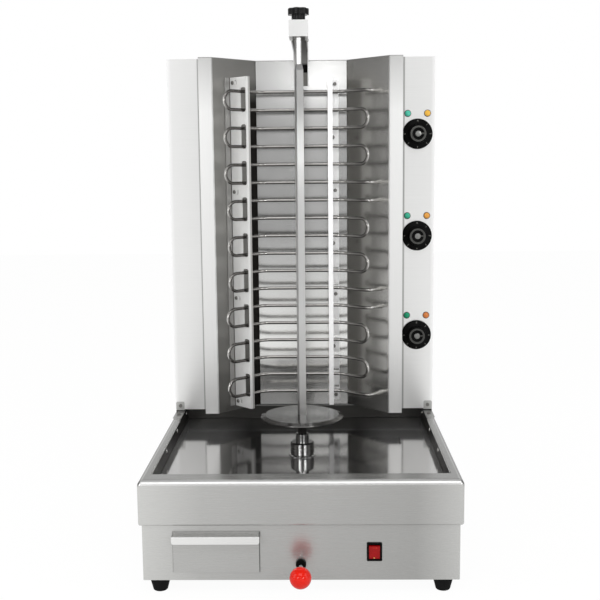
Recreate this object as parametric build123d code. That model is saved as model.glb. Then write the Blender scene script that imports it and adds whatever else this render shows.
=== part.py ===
from build123d import *
from math import cos, radians, sin, sqrt, tan
import os

# Electric doner kebab grill, millimetres, +Z up, +X to the right of a person facing it.
# While modelling, y = 0 is the front face of the apron; write_node centres the whole object on Y.

# Driving sizes of the base
sheet = 1.5
base_width = 530.0
base_depth = 600.0
foot_height = 22.0
foot_radius = 16.5
foot_tip_radius = 12.0
foot_inset = 31.0
apron_height = 76.0
rim_top_z = 192.0
rim_bend_radius = 9.5
apron_hem_radius = 4.0
apron_corner_radius = 4.0
panel_inset = 5.0
wall_below_tray = 12.0
panel_corner_radius = 3.0
front_rim = 36.5
side_rim = 17.0
rear_deck = 90.0
rim_flange_height = 16.0
tray_floor_drop = 28.0
tray_wall_drop = 2.0
drain_radius = 10.0
rivet_radius = 2.0
rivet_head_radius = 3.8
rivet_head_height = 1.6
rivet_rows = 3
rivet_pitch = 138.0
rivet_back_inset = 33.0

# Driving sizes of the drawer
drawer_inset = 50.0
drawer_width = 143.0
drawer_bottom_z = 36.0
drawer_height = 69.0
drawer_depth = 240.0
drawer_margin = 4.0
drawer_gap = 1.5
handle_drop = 4.0
handle_lip_height = 12.5
handle_reach = 13.0
sliding_gap = 0.3

# Driving sizes of the switch
switch_x = 120.0
switch_z = 70.3
bezel_width = 25.0
bezel_height = 31.5
bezel_rise = 2.5
switch_depth = 23.0
switch_wall = 1.3
rocker_width = 18.0
rocker_height = 22.4
rocker_tilt = 8.0
rocker_pivot_depth = 5.0

# Driving sizes of the drive
spit_y = 237.0
push_rod_z = 50.0
push_rod_radius = 4.0
ball_radius = 17.4
ball_reach = 52.5
ball_socket = 7.0
bushing_radius = 8.5
carriage_travel = 28.0
running_gap = 0.05
rail_radius = 5.0
rail_spacing = 150.0
rail_drop = 14.5
rail_front_room = 46.0
rail_back_room = 34.0
bearing_block = (22.0, 24.0, 20.0)
bearing_pitch = 82.0
carriage_sheet = 3.0
gearbox_size = (80.0, 100.0, 38.0)
motor_radius = 30.0
motor_height = 55.0
shaft_radius = 6.0
shaft_space = 6.5
shaft_bearing_radius = 12.0
shaft_bearing_height = 8.0
guard_radius = 9.0
guard_plate_radius = 24.0
boss_radius = 21.5
boss_height = 23.0
boss_neck_radius = 12.3
boss_neck_height = 16.0
socket_depth = 20.0

# Driving sizes of the spit and the meat disc
spit_side = 12.5
spit_turn = 18.0
disc_z = 241.5
disc_flat_radius = 67.2
disc_radius = 76.0
disc_droop = 3.4
disc_sheet = 2.0
disc_hub_radius = 17.0
disc_hub_height = 16.0
spit_tip_height = 10.0
spit_tip_side = 9.4

# Driving sizes of the tower
tower_gap = 6.0
tower_height = 706.0
tower_inset = 1.0
tower_depth = 130.0
tower_setback = 150.0
casing_face = 65.5
strip_width = 25.5
strip_step = 34.0
reflector_run = 80.0
return_overlap = 20.0
seam_gap = 0.1
reflector_flange = 16.0
vent_length = 70.0
vent_height = 4.0

# Driving sizes of the heating elements
rods_per_element = 6
element_count = 3
rod_top_margin = 65.25
rod_bottom_margin = 37.25
rod_radius = 3.25
element_standoff = 42.0
corner_inset = 15.0
rod_turn = 41.0
rod_bend_radius = 30.0
left_reaches = (68.5, 64.5, 69.0)
right_reach = 51.5
terminal_reach = 52.0
terminal_bend_radius = 12.0
terminal_tail = 26.0
rod_hole_gap = 0.6
ferrule_radius = 4.6
ferrule_reach = 11.0
ferrule_cone = 7.5
ferrule_nut_radius = 7.5
ferrule_nut_height = 5.0

# Driving sizes of the element supports
support_web = 50.0
support_lip = 9.3
support_leg = 13.0
support_right_inset = 31.0
support_left_outset = 48.0
support_end_margin = 28.0
support_slot = (5.0, 10.0)
support_slot_reach = 19.0
support_screw_reach = 10.0
loop_slot_headroom = 4.5
loop_slot_corner = 4.5
loop_slot_side = 1.0
notch_width = 12.0
notch_height = 5.0

# Driving sizes of the dials and lamps
dial_inset = 34.0
dial_radius = 29.75
dial_grip_radius = 19.0
dial_height = 20.0
dial_skirt = 3.0
dial_flutes = 16
dial_flute_radius = 2.0
dial_gap = 0.6
dial_pitch = 201.5
dial_mid_drop = 2.0
spindle_radius = 3.0
thermostat_radius = 18.0
thermostat_depth = 34.0
lamp_offset = 19.5
lamp_rise = 40.0
lamp_bezel_radius = 6.9
lamp_lens_radius = 6.0
lamp_body_depth = 24.0

# Driving sizes of the top arm
arm_lift = 13.0
arm_width = 29.8
arm_height = 24.8
arm_sheet = 2.0
arm_slide_gap = 0.1
arm_leg_width = 30.0
arm_leg_depth = 14.0
arm_leg_drop = 64.0
sleeve_front = 17.0
sleeve_length = 60.0
sleeve_lip = 4.0
pin_radius = 4.5
pin_nose_radius = 3.0
pin_nose_length = 13.0
pin_gap = 0.5
pin_drop = 45.5
knob_neck_radius = 12.0
knob_neck_height = 9.7
knob_radius = 18.5
knob_height = 11.0
knob_flutes = 7
knob_flute_radius = 5.0

# Driving sizes of brackets, screws, gland and wiring
bracket_width = 17.0
bracket_rise = 22.0
bracket_leg = 53.0
rear_bracket_leg = 17.0
screw_radius = 2.0
screw_head_radius = 3.6
screw_head_height = 2.2
screw_length = 7.5
nut_radius = 4.0
nut_height = 3.2
foot_screw_length = 18.0
gland_inset = 60.0
gland_z = 62.0
gland_bore = 7.0
gland_reach = 23.0
loom_inset = 80.0
loom_depth = 24.0
loom_radius = 6.0
loom_branch_radius = 4.0
grommet_gap = 2.0

# Sizes worked out from the driving sizes
half_base = base_width / 2
apron_bottom_z = rim_top_z - apron_height
panel_half = half_base - panel_inset
panel_back_y = base_depth - panel_inset
well_half = half_base - side_rim
well_back_y = base_depth - rear_deck
tray_floor_z = rim_top_z - tray_floor_drop
tray_under_z = tray_floor_z - sheet
housing_top_z = tray_under_z - wall_below_tray
floor_top_z = foot_height + sheet
half_tower = half_base - tower_inset
tower_bottom_z = rim_top_z + tower_gap
tower_top_z = tower_bottom_z + tower_height
casing_y = base_depth - tower_setback
cover_y = casing_y + tower_depth
casing_inner = half_tower - casing_face
strip_inner = casing_inner - strip_width
strip_y = casing_y - strip_step
back_half = strip_inner - reflector_run
back_y = strip_y + reflector_run
rod_y = back_y - element_standoff
corner_half = back_half - corner_inset
rod_count = rods_per_element * element_count
top_rod_z = tower_top_z - rod_top_margin
bottom_rod_z = tower_bottom_z + rod_bottom_margin
rod_pitch = (top_rod_z - bottom_rod_z) / (rod_count - 1)
support_bottom_z = bottom_rod_z - support_end_margin
support_top_z = top_rod_z + support_end_margin
support_right_x = back_half - support_right_inset
support_left_x = back_half + support_left_outset
dial_x = half_tower - dial_inset
loom_x = dial_x - loom_inset
loom_y = cover_y - loom_depth
gland_x = panel_half - gland_inset
dial_mid_z = (tower_bottom_z + tower_top_z) / 2 + dial_mid_drop
arm_bottom_z = tower_top_z + arm_lift
sleeve_half = arm_width / 2 + arm_slide_gap + sheet
sleeve_top_z = arm_bottom_z + arm_height + 2 * (sheet + arm_slide_gap)
sleeve_front_y = spit_y - sleeve_front
arm_front_y = sleeve_front_y + sheet + carriage_travel + 0.5
spit_top_z = arm_bottom_z - pin_drop - pin_gap
guard_top_z = tray_floor_z + sliding_gap + 2.4
boss_bottom_z = guard_top_z + sliding_gap
boss_top_z = boss_bottom_z + boss_height + boss_neck_height
rail_z = tray_under_z - rail_drop
rail_front_y = spit_y - bearing_pitch / 2 - rail_front_room
rail_back_y = spit_y + bearing_pitch / 2 + carriage_travel + rail_back_room
carriage_top_z = rail_z - bearing_block[2] / 2
carriage_bottom_z = carriage_top_z - carriage_sheet
carriage_front_y = spit_y - 48.0 - carriage_sheet
drawer_left = drawer_inset - panel_half
drawer_right = drawer_left + drawer_width
drawer_top_z = drawer_bottom_z + drawer_height
front_reach = ball_reach + ball_radius
rear_reach = panel_back_y + gland_reach
middle_y = (rear_reach - front_reach) / 2
facing = sqrt(0.5)


# Small helpers

def block(x0, x1, y0, y1, z0, z1):
    """A box between two opposite corners."""
    return Pos((x0 + x1) / 2, (y0 + y1) / 2, (z0 + z1) / 2) * Box(x1 - x0, y1 - y0, z1 - z0)


def post(x, y, z0, z1, radius):
    """An upright round bar."""
    return Pos(x, y, (z0 + z1) / 2) * Cylinder(radius, z1 - z0)


def bar_y(x, z, y0, y1, radius):
    """A round bar along Y."""
    return Pos(x, (y0 + y1) / 2, z) * Rot(90, 0, 0) * Cylinder(radius, y1 - y0)


def bar_x(y, z, x0, x1, radius):
    """A round bar along X."""
    return Pos((x0 + x1) / 2, y, z) * Rot(0, 90, 0) * Cylinder(radius, x1 - x0)


def plate(points, z0, z1):
    """A plan outline made as thick as z0 to z1."""
    outline = make_face(Polyline(*points, close=True))
    return Pos(0, 0, z0) * extrude(outline, amount=z1 - z0, dir=(0, 0, 1))


def turned(points, x, y, z=0.0):
    """A (radius, height) outline turned about the upright line through x, y."""
    outline = make_face(Polyline(*[(r, 0, h) for r, h in points], close=True))
    return Pos(x, y, z) * revolve(outline, Axis.Z)


def turned_y(points, x, z, y=0.0):
    """A (radius, depth) outline turned about the line along Y through x, z."""
    outline = make_face(Polyline(*[(r, d, 0) for r, d in points], close=True))
    return Pos(x, y, z) * revolve(outline, Axis.Y)


def mirrored(shape):
    """The same shape on the other side of the middle plane."""
    return mirror(shape, about=Plane.YZ)


def group(shapes):
    """Separate solids kept together in one node."""
    return Compound([solid for shape in shapes for solid in shape.solids()])


def write_node(name, shape):
    """Move the shape to the object's own frame and write it."""
    export_step(Pos(0, -middle_y, 0) * shape, "parts/" + name + ".step")


# Screws: each is a place on the outer face and the direction that its shank points

def cover_screw_places():
    heights = [tower_bottom_z + tower_height * share for share in (0.05, 0.35, 0.65, 0.95)]
    inset = half_tower - sheet - 6.5
    return [((side * inset, cover_y, z), (0, -1, 0)) for side in (-1, 1) for z in heights]


def front_bracket_places():
    x = well_half + 6.0
    face = [((side * x, casing_y - sheet, tower_bottom_z + 8.0), (0, 1, 0)) for side in (-1, 1)]
    rim = [((side * x, casing_y - 27.0, rim_top_z + sheet), (0, 0, -1)) for side in (-1, 1)]
    return face + rim


def rear_bracket_places():
    x = 0.57 * half_tower
    face = [((side * x, cover_y + sheet, tower_bottom_z + 8.0), (0, -1, 0)) for side in (-1, 1)]
    deck = [((side * x, cover_y + 10.0, rim_top_z + sheet), (0, 0, -1)) for side in (-1, 1)]
    return face + deck


def support_heights():
    lowest = bottom_rod_z - rod_pitch / 2
    return [lowest + i * rods_per_element * rod_pitch for i in range(element_count + 1)]


def support_leg_places():
    x = support_right_x + 5.5
    return [((x, back_y - sheet, z), (0, 1, 0)) for z in support_heights()]


def left_web_place(reach):
    """Plan place on the left web's visible face, reach millimetres out from the panel."""
    return -support_left_x + reach * facing, strip_y + strip_inner - support_left_x - reach * facing


def left_web_screw_places():
    x, y = left_web_place(support_screw_reach)
    return [((x, y, z), (facing, facing, 0)) for z in support_heights()]


def right_web_screw_places():
    """Screws at the middle of each element, through the angle's fin and the web."""
    x = support_right_x - 2 * sheet
    half_element = (rods_per_element - 1) / 2
    heights = [rod_z(half_element + i * rods_per_element) for i in range(element_count)]
    return [((x, back_y - 2 * support_screw_reach, z), (1, 0, 0)) for z in heights]


def web_nut_places():
    """Each nut stands on the face behind its screw, with the same direction."""
    nuts = []
    for (x, y, z), (dx, dy, dz) in left_web_screw_places() + right_web_screw_places():
        nuts.append(((x + 2 * sheet * dx, y + 2 * sheet * dy, z), (dx, dy, dz)))
    return nuts


def arm_screw_places():
    y = back_y - arm_sheet
    return [((0, y, tower_top_z - drop), (0, 1, 0)) for drop in (14.0, 38.0)]


def foot_places():
    front = panel_inset + foot_radius + 0.5
    return [(side * (half_base - foot_inset), y) for side in (-1, 1) for y in (front, base_depth - 25.0)]


def foot_screw_places():
    return [((x, y, 10.0), (0, 0, 1)) for x, y in foot_places()]


def pan_screw(place, direction, length=screw_length):
    """A pan head screw; its head stands outside the face that it is placed on."""
    bevel = 0.7
    rise = screw_head_height
    head = [(0, -rise), (screw_head_radius - bevel, -rise), (screw_head_radius, bevel - rise)]
    shank = [(screw_head_radius, 0), (screw_radius, 0), (screw_radius, length), (0, length)]
    outline = make_face(Polyline(*[(r, 0, h) for r, h in head + shank], close=True))
    body = revolve(outline, Axis.Z)
    slot = Pos(0, 0, -rise) * Box(3.6, 0.9, 1.2)
    body -= slot + Rot(0, 0, 90) * slot
    return Plane(origin=place, z_dir=direction) * body


def drill(shape, places):
    """Cut the screw holes of the places through a sheet."""
    for place, direction in places:
        hole = Plane(origin=place, z_dir=direction) * Cylinder(screw_radius, 2 * foot_screw_length)
        shape -= hole
    return shape


def hex_nut(place, direction):
    nut = extrude(RegularPolygon(nut_radius, 6), amount=nut_height) - Cylinder(screw_radius, 3 * nut_height)
    return Plane(origin=place, z_dir=direction) * nut


def screws_and_nuts():
    places = cover_screw_places() + front_bracket_places() + rear_bracket_places()
    places += support_leg_places() + left_web_screw_places() + right_web_screw_places() + arm_screw_places()
    screws = [pan_screw(place, direction) for place, direction in places]
    screws += [pan_screw(place, direction, foot_screw_length) for place, direction in foot_screw_places()]
    return group(screws + [hex_nut(place, direction) for place, direction in web_nut_places()])


# Base

def lower_housing():
    """The four walls of the base under the apron."""
    outer = block(-panel_half, panel_half, panel_inset, panel_back_y, foot_height, housing_top_z)
    outer = fillet(outer.edges().filter_by(Axis.Z), panel_corner_radius)
    hollow = block(-panel_half + sheet, panel_half - sheet, panel_inset + sheet,
                   panel_back_y - sheet, 0, rim_top_z)
    walls = outer - hollow
    front = (panel_inset - 1, panel_inset + sheet + 1)
    room = drawer_margin - drawer_gap
    walls -= block(drawer_left + room, drawer_right - room, *front,
                   drawer_bottom_z + room, drawer_top_z - 10.0)
    body_half_x, body_half_z = switch_body_half()
    walls -= block(switch_x - body_half_x, switch_x + body_half_x, *front,
                   switch_z - body_half_z, switch_z + body_half_z)
    walls -= bar_y(0, push_rod_z, *front, bushing_radius - 2.5)
    walls -= bar_y(gland_x, gland_z, panel_back_y - sheet - 1, panel_back_y + 1, gland_bore + 3.0)
    for column in (-1, 1):
        for row in range(5):
            z = 45.0 + 12.0 * row
            x = 70.0 * column - 25.0
            walls -= block(x, x + 50.0, panel_back_y - sheet - 1, panel_back_y + 1, z, z + vent_height)
    return walls


def base_floor():
    inner = panel_half - sheet
    floor = block(-inner, inner, panel_inset + sheet, panel_back_y - sheet, foot_height, floor_top_z)
    for row in range(7):
        y = spit_y - 30.0 + 12.0 * row
        floor -= block(-40.0, 40.0, y, y + vent_height, foot_height - 1, floor_top_z + 1)
    return drill(floor, foot_screw_places())


def top_frame():
    """Apron, rounded rim and the flange that turns down round the tray."""
    outer = block(-half_base, half_base, 0, base_depth, apron_bottom_z, rim_top_z)
    outer = fillet(outer.edges().filter_by(Axis.Z), apron_corner_radius)
    outer = fillet(outer.edges().group_by(Axis.Z)[-1], rim_bend_radius)
    outer = fillet(outer.edges().group_by(Axis.Z)[0], apron_hem_radius)
    inner = block(-half_base + sheet, half_base - sheet, sheet, base_depth - sheet,
                  apron_bottom_z + sheet, rim_top_z - sheet)
    inner = fillet(inner.edges().group_by(Axis.Z)[-1], rim_bend_radius - sheet)
    inner = fillet(inner.edges().group_by(Axis.Z)[0], apron_hem_radius - sheet)
    frame = outer - inner
    frame -= block(-panel_half, panel_half, panel_inset, panel_back_y, apron_bottom_z - 1, apron_bottom_z + 9)
    flange = block(-well_half - sheet, well_half + sheet, front_rim - sheet, well_back_y + sheet,
                   rim_top_z - rim_flange_height, rim_top_z - sheet / 2)
    frame += flange
    frame -= block(-well_half, well_half, front_rim, well_back_y, apron_bottom_z, rim_top_z + 1)
    for side in (-1, 1):
        for y in rivet_places_y():
            frame -= bar_x(y, rivet_z(), side * well_half - 3, side * well_half + 3, rivet_radius)
    frame = drill(frame, [p for p in front_bracket_places() + rear_bracket_places() if p[1][2] < 0])
    return frame - post(loom_x, loom_y, rim_top_z - 3, rim_top_z + 1, loom_radius + grommet_gap)


def rivet_z():
    return rim_top_z - rim_flange_height / 2 - 1.0


def rivet_places_y():
    return [well_back_y - rivet_back_inset - rivet_pitch * i for i in range(rivet_rows)]


def drip_tray():
    """The pan inside the rim, with a drain and the slot that the drive shaft slides along."""
    pan = block(-well_half, well_half, front_rim, well_back_y, tray_under_z, rim_top_z - tray_wall_drop)
    pan = fillet(pan.edges().group_by(Axis.Z)[0], 3.0)
    hollow = block(-well_half + sheet, well_half - sheet, front_rim + sheet, well_back_y - sheet,
                   tray_floor_z, rim_top_z)
    pan -= fillet(hollow.edges().group_by(Axis.Z)[0], 1.6)
    slot_half = guard_radius + 0.5
    slot = block(-slot_half, slot_half, spit_y, spit_y + carriage_travel, tray_under_z - 1, tray_floor_z + 1)
    slot += post(0, spit_y, tray_under_z - 1, tray_floor_z + 1, slot_half)
    slot += post(0, spit_y + carriage_travel, tray_under_z - 1, tray_floor_z + 1, slot_half)
    pan -= slot
    x, y = drain_place()
    pan -= post(x, y, tray_under_z - 1, tray_floor_z + 1, drain_radius + sheet)
    for side in (-1, 1):
        for y in rivet_places_y():
            pan -= bar_x(y, rivet_z(), side * well_half - 3, side * well_half + 3, rivet_radius)
    return pan


def tray_rivets():
    """Domed rivets that hold the tray's side walls on the rim's flange."""
    rivets = []
    for side in (-1, 1):
        for y in rivet_places_y():
            inside = side * (well_half - sheet)
            outside = side * (well_half + sheet)
            top = inside - side * rivet_head_height
            shank = bar_x(y, rivet_z(), *sorted((inside, outside)), rivet_radius)
            head = bar_x(y, rivet_z(), *sorted((inside, top)), rivet_head_radius)
            head = fillet(head.edges().sort_by(Axis.X)[0 if side > 0 else -1], rivet_head_height - 0.2)
            tail = bar_x(y, rivet_z(), *sorted((outside, outside + side * 1.2)), rivet_head_radius - 0.8)
            rivets.append(shank + head + tail)
    return group(rivets)


def drain_place():
    return drawer_left + drawer_width / 2, front_rim + 50.0


def drain_spout():
    x, y = drain_place()
    outline = [(drain_radius, tray_floor_z), (drain_radius + sheet, tray_floor_z),
               (drain_radius + sheet, drawer_top_z + 5.0), (drain_radius, drawer_top_z + 5.0)]
    return turned(outline, x, y)


def rubber_feet():
    outline = [(0, 0), (foot_tip_radius - 1.0, 0), (foot_tip_radius, 1.0), (foot_radius, foot_height - 4.0),
               (foot_radius, foot_height), (0, foot_height)]
    feet = []
    for x, y in foot_places():
        foot = turned(outline, x, y)
        foot -= post(x, y, -1, 10.0, screw_head_radius + 2.0)
        foot -= post(x, y, 5, foot_height + 1, screw_radius)
        feet.append(foot)
    return group(feet)


# Drawer

def drawer_pan():
    x0 = drawer_left + drawer_margin
    x1 = drawer_right - drawer_margin
    y0 = panel_inset - sliding_gap
    z0 = drawer_bottom_z + drawer_margin
    z1 = drawer_top_z - 12.0
    pan = block(x0, x1, y0, y0 + drawer_depth, z0, z1)
    return pan - block(x0 + sheet, x1 - sheet, y0 + sheet, y0 + drawer_depth - sheet, z0 + sheet, z1 + 1)


def drawer_front():
    """Front plate with the folded strip that fingers pull."""
    y1 = panel_inset - sliding_gap
    y0 = y1 - sheet
    lip_y = y0 - handle_reach
    shelf_z = drawer_top_z - handle_drop
    front = block(drawer_left, drawer_right, y0, y1, drawer_bottom_z, drawer_top_z)
    shelf = block(drawer_left, drawer_right, lip_y, y0, shelf_z - sheet, shelf_z)
    shelf = fillet(shelf.edges().filter_by(Axis.X).group_by(Axis.Y)[0].group_by(Axis.Z)[-1], 1.2)
    lip = block(drawer_left, drawer_right, lip_y, lip_y + sheet,
                shelf_z - handle_lip_height, shelf_z - 0.5)
    lip = fillet(lip.edges().filter_by(Axis.Y).group_by(Axis.Z)[0], 4.0)
    return front + shelf + lip


def drawer_runners():
    """Folded rails on the base floor that carry the drawer's two lower edges."""
    left = drawer_left + drawer_margin
    right = drawer_right - drawer_margin
    ledge_z = drawer_bottom_z + drawer_margin - sliding_gap
    y0 = panel_inset + sheet + 0.5
    y1 = panel_inset + drawer_depth
    runners = []
    for edge, way in ((left, -1), (right, 1)):
        wall = edge + way * 1.0
        spans = [(wall, wall + way * sheet, floor_top_z, ledge_z + 20.0),
                 (wall + way * sheet, wall + way * 13.0, floor_top_z, floor_top_z + sheet),
                 (wall, wall - way * 11.0, ledge_z - sheet, ledge_z)]
        pieces = [block(*sorted((a, b)), y0, y1, z0, z1) for a, b, z0, z1 in spans]
        runners.append(pieces[0] + pieces[1] + pieces[2])
    return group(runners)


# Switch

def switch_body_half():
    return rocker_width / 2 + 0.4 + switch_wall, rocker_height / 2 + 1.5 + switch_wall


def switch_body():
    half_x, half_z = switch_body_half()
    front_y = panel_inset - bezel_rise
    bezel = block(switch_x - bezel_width / 2, switch_x + bezel_width / 2, front_y, panel_inset,
                  switch_z - bezel_height / 2, switch_z + bezel_height / 2)
    bezel = fillet(bezel.edges().filter_by(Axis.Y), 2.0)
    bezel = chamfer(bezel.edges().group_by(Axis.Y)[0], 0.8)
    body = bezel + block(switch_x - half_x, switch_x + half_x, panel_inset, panel_inset + switch_depth,
                         switch_z - half_z, switch_z + half_z)
    body -= block(switch_x - half_x + switch_wall, switch_x + half_x - switch_wall, front_y - 1,
                  panel_inset + switch_depth - 2.0, switch_z - half_z + switch_wall,
                  switch_z + half_z - switch_wall)
    pivot_y = panel_inset + rocker_pivot_depth
    return body - bar_x(pivot_y, switch_z, switch_x - half_x, switch_x + half_x, 1.5 + running_gap)


def switch_rocker():
    """The red rocker, its lower end pressed in, with a pin on each side."""
    half_x = rocker_width / 2
    end = rocker_height / 2
    tilt = tan(radians(rocker_tilt))
    middle = -(rocker_pivot_depth + 0.8)
    outline = [(middle, 0), (middle - end * tilt, end), (-3.0, end), (3.0, 4.0), (3.0, -4.0), (-3.0, -end),
               (middle - end * tilt, -end)]
    face = make_face(Polyline(*[(0, y, z) for y, z in outline], close=True))
    rocker = Pos(-half_x, 0, 0) * extrude(face, amount=2 * half_x, dir=(1, 0, 0))
    rocker += bar_x(0, 0, -half_x - 1.4, half_x + 1.4, 1.5)
    return Pos(switch_x, panel_inset + rocker_pivot_depth, switch_z) * Rot(rocker_tilt, 0, 0) * rocker


# Drive

def rail_brackets():
    half = rail_spacing / 2 + 15.0
    low = rail_z - 12.0
    brackets = []
    for y, way in ((rail_front_y, 1), (rail_back_y, -1)):
        wall = block(-half, half, *sorted((y, y + way * carriage_sheet)), low, tray_under_z)
        foot = block(-half, half, *sorted((y, y - way * 14.0)), tray_under_z - carriage_sheet, tray_under_z)
        bracket = wall + foot
        for side in (-1, 1):
            bracket -= bar_y(side * rail_spacing / 2, rail_z, y - 5, y + 5, rail_radius)
        brackets.append(bracket)
    return group(brackets)


def guide_rails():
    return group([bar_y(side * rail_spacing / 2, rail_z, rail_front_y, rail_back_y, rail_radius)
                  for side in (-1, 1)])


def slide_bearings():
    width, depth, height = bearing_block
    blocks = []
    for side in (-1, 1):
        for y in (spit_y - bearing_pitch / 2, spit_y + bearing_pitch / 2):
            body = Pos(side * rail_spacing / 2, y, rail_z) * Box(width, depth, height)
            body = fillet(body.edges().filter_by(Axis.Y).group_by(Axis.Z)[-1], 3.0)
            body -= bar_y(side * rail_spacing / 2, rail_z, y - depth, y + depth, rail_radius + running_gap)
            blocks.append(body)
    return group(blocks)


def carriage_plate():
    """Folded plate under the bearings, with a front flange for the push rod."""
    half = rail_spacing / 2 + bearing_block[0] / 2 + 2.0
    back = spit_y + bearing_pitch / 2 + bearing_block[1] / 2 + 2.0
    top = block(-half, half, carriage_front_y, back, carriage_bottom_z, carriage_top_z)
    flange = block(-32.0, 32.0, carriage_front_y, carriage_front_y + carriage_sheet,
                   push_rod_z - 12.0, carriage_top_z)
    body = top + flange
    body -= post(0, spit_y, carriage_bottom_z - 1, carriage_top_z + 1, shaft_bearing_radius)
    return body - bar_y(0, push_rod_z, carriage_front_y - 1, carriage_front_y + carriage_sheet + 1,
                        push_rod_radius)


def gearbox():
    width, depth, height = gearbox_size
    y0 = carriage_front_y + carriage_sheet
    body = block(-width / 2, width / 2, y0, y0 + depth, carriage_bottom_z - height, carriage_bottom_z)
    body = fillet(body.edges().filter_by(Axis.Z), 6.0)
    return body - post(0, spit_y, carriage_bottom_z - height + 2.0, carriage_bottom_z + 1, shaft_space)


def drive_motor():
    top = carriage_bottom_z - gearbox_size[2]
    y = carriage_front_y + carriage_sheet + gearbox_size[1] / 2 + 8.0
    body = post(0, y, top - motor_height, top, motor_radius)
    body = fillet(body.edges().group_by(Axis.Z)[0], 5.0)
    for row in range(4):
        z = top - 14.0 - 8.0 * row
        ring = post(0, y, z, z + 3.0, motor_radius + 1) - post(0, y, z, z + 3.0, motor_radius - 2.0)
        body -= ring
    return body


def shaft_bearing():
    ring = post(0, spit_y, carriage_bottom_z, carriage_bottom_z + shaft_bearing_height, shaft_bearing_radius)
    return ring - post(0, spit_y, carriage_bottom_z - 1, carriage_top_z + 9, shaft_radius + running_gap)


def shaft_guard():
    """Collar over the bearing, neck through the tray slot and the plate that covers the slot."""
    cap_z = carriage_bottom_z + shaft_bearing_height
    plate_z = tray_floor_z + sliding_gap
    collar = shaft_bearing_radius + 3.0
    outline = [(shaft_bearing_radius, carriage_top_z), (collar, carriage_top_z), (collar, cap_z + 2.0),
               (guard_radius, cap_z + 2.0), (guard_radius, plate_z),
               (guard_plate_radius, plate_z), (guard_plate_radius, guard_top_z - 1.0),
               (guard_plate_radius - 1.5, guard_top_z), (shaft_space, guard_top_z), (shaft_space, cap_z),
               (shaft_bearing_radius, cap_z)]
    return turned(outline, 0, spit_y)


def push_rod():
    return bar_y(0, push_rod_z, -ball_reach + ball_socket, carriage_front_y + carriage_sheet, push_rod_radius)


def red_ball():
    ball = Pos(0, -ball_reach, push_rod_z) * Sphere(ball_radius)
    return ball - bar_y(0, push_rod_z, -ball_reach + ball_socket, 0, push_rod_radius)


def rod_bushing():
    neck = bushing_radius - 2.5
    bore = push_rod_radius + running_gap
    outline = [(bore, -6.0), (bushing_radius - 1.0, -6.0), (bushing_radius, -5.0), (bushing_radius, 0),
               (neck, 0), (neck, 9.0), (bore, 9.0)]
    return turned_y(outline, 0, push_rod_z, panel_inset)


def output_shaft():
    return post(0, spit_y, carriage_bottom_z - gearbox_size[2] + 4.0, boss_top_z - socket_depth - 2.0,
                shaft_radius)


def square_bar(side, z0, z1):
    return Pos(0, spit_y, (z0 + z1) / 2) * Rot(0, 0, spit_turn) * Box(side, side, z1 - z0)


def drive_boss():
    """Turned boss on the shaft, with the square socket that the spit stands in."""
    shoulder = boss_bottom_z + boss_height
    outline = [(0, boss_bottom_z), (boss_radius - 0.8, boss_bottom_z), (boss_radius, boss_bottom_z + 0.8),
               (boss_radius, shoulder - 2.0), (boss_radius - 2.0, shoulder), (boss_neck_radius, shoulder),
               (boss_neck_radius - 0.6, boss_top_z - 1.0), (boss_neck_radius - 1.6, boss_top_z),
               (0, boss_top_z)]
    boss = turned(outline, 0, spit_y)
    boss -= post(0, spit_y, boss_bottom_z - 1, boss_top_z - socket_depth - 2.0, shaft_radius)
    return boss - square_bar(spit_side, boss_top_z - socket_depth, boss_top_z + 1)


def meat_disc():
    """Round disc with a sloped rim and a welded hub under it."""
    under = disc_z - disc_sheet
    outline = [(0, disc_z), (disc_flat_radius, disc_z), (disc_radius, disc_z - disc_droop),
               (disc_radius, disc_z - disc_droop - disc_sheet), (disc_flat_radius, under),
               (disc_hub_radius, under), (disc_hub_radius, disc_z - disc_hub_height),
               (0, disc_z - disc_hub_height)]
    return turned(outline, 0, spit_y) - square_bar(spit_side, 0, disc_z + 1)


def spit_bar():
    """Square bar with a tapered tip and the hole that the lock pin's nose enters."""
    shoulder = spit_top_z - spit_tip_height
    bar = square_bar(spit_side, boss_top_z - socket_depth, shoulder)
    turn = Pos(0, spit_y, shoulder) * Rot(0, 0, spit_turn)
    tip = loft([turn * Rectangle(spit_side, spit_side),
                turn * Pos(0, 0, spit_tip_height) * Rectangle(spit_tip_side, spit_tip_side)])
    hole = post(0, spit_y, spit_top_z - pin_nose_length - 1.0, spit_top_z + 1, pin_nose_radius + running_gap)
    return bar + tip - hole


# Tower

def side_casing():
    """Right side box: front panel, side, top and the flanges that meet the reflector and rear cover."""
    body = block(casing_inner, half_tower, casing_y, cover_y, tower_bottom_z, tower_top_z)
    body -= block(casing_inner - 1, half_tower - sheet, casing_y + sheet, cover_y + 1,
                  tower_bottom_z - 1, tower_top_z - sheet)
    body += block(casing_inner, casing_inner + sheet, casing_y, casing_y + return_overlap,
                  tower_bottom_z, tower_top_z)
    body += block(half_tower - sheet - 14.0, half_tower, cover_y - 2 * sheet, cover_y - sheet,
                  tower_bottom_z + sheet, tower_top_z)
    body = drill(body, [p for p in cover_screw_places() if p[0][0] > 0])
    return drill(body, [p for p in front_bracket_places() if p[0][0] > 0 and p[1][1] > 0])


def right_casing():
    body = side_casing()
    for z in dial_heights():
        body -= bar_y(dial_x, z, casing_y - 1, casing_y + sheet + 1, spindle_radius + 2.0)
        for side in (-1, 1):
            body -= bar_y(dial_x + side * lamp_offset, z + lamp_rise, casing_y - 1, casing_y + sheet + 1,
                          lamp_lens_radius)
    return body


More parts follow.
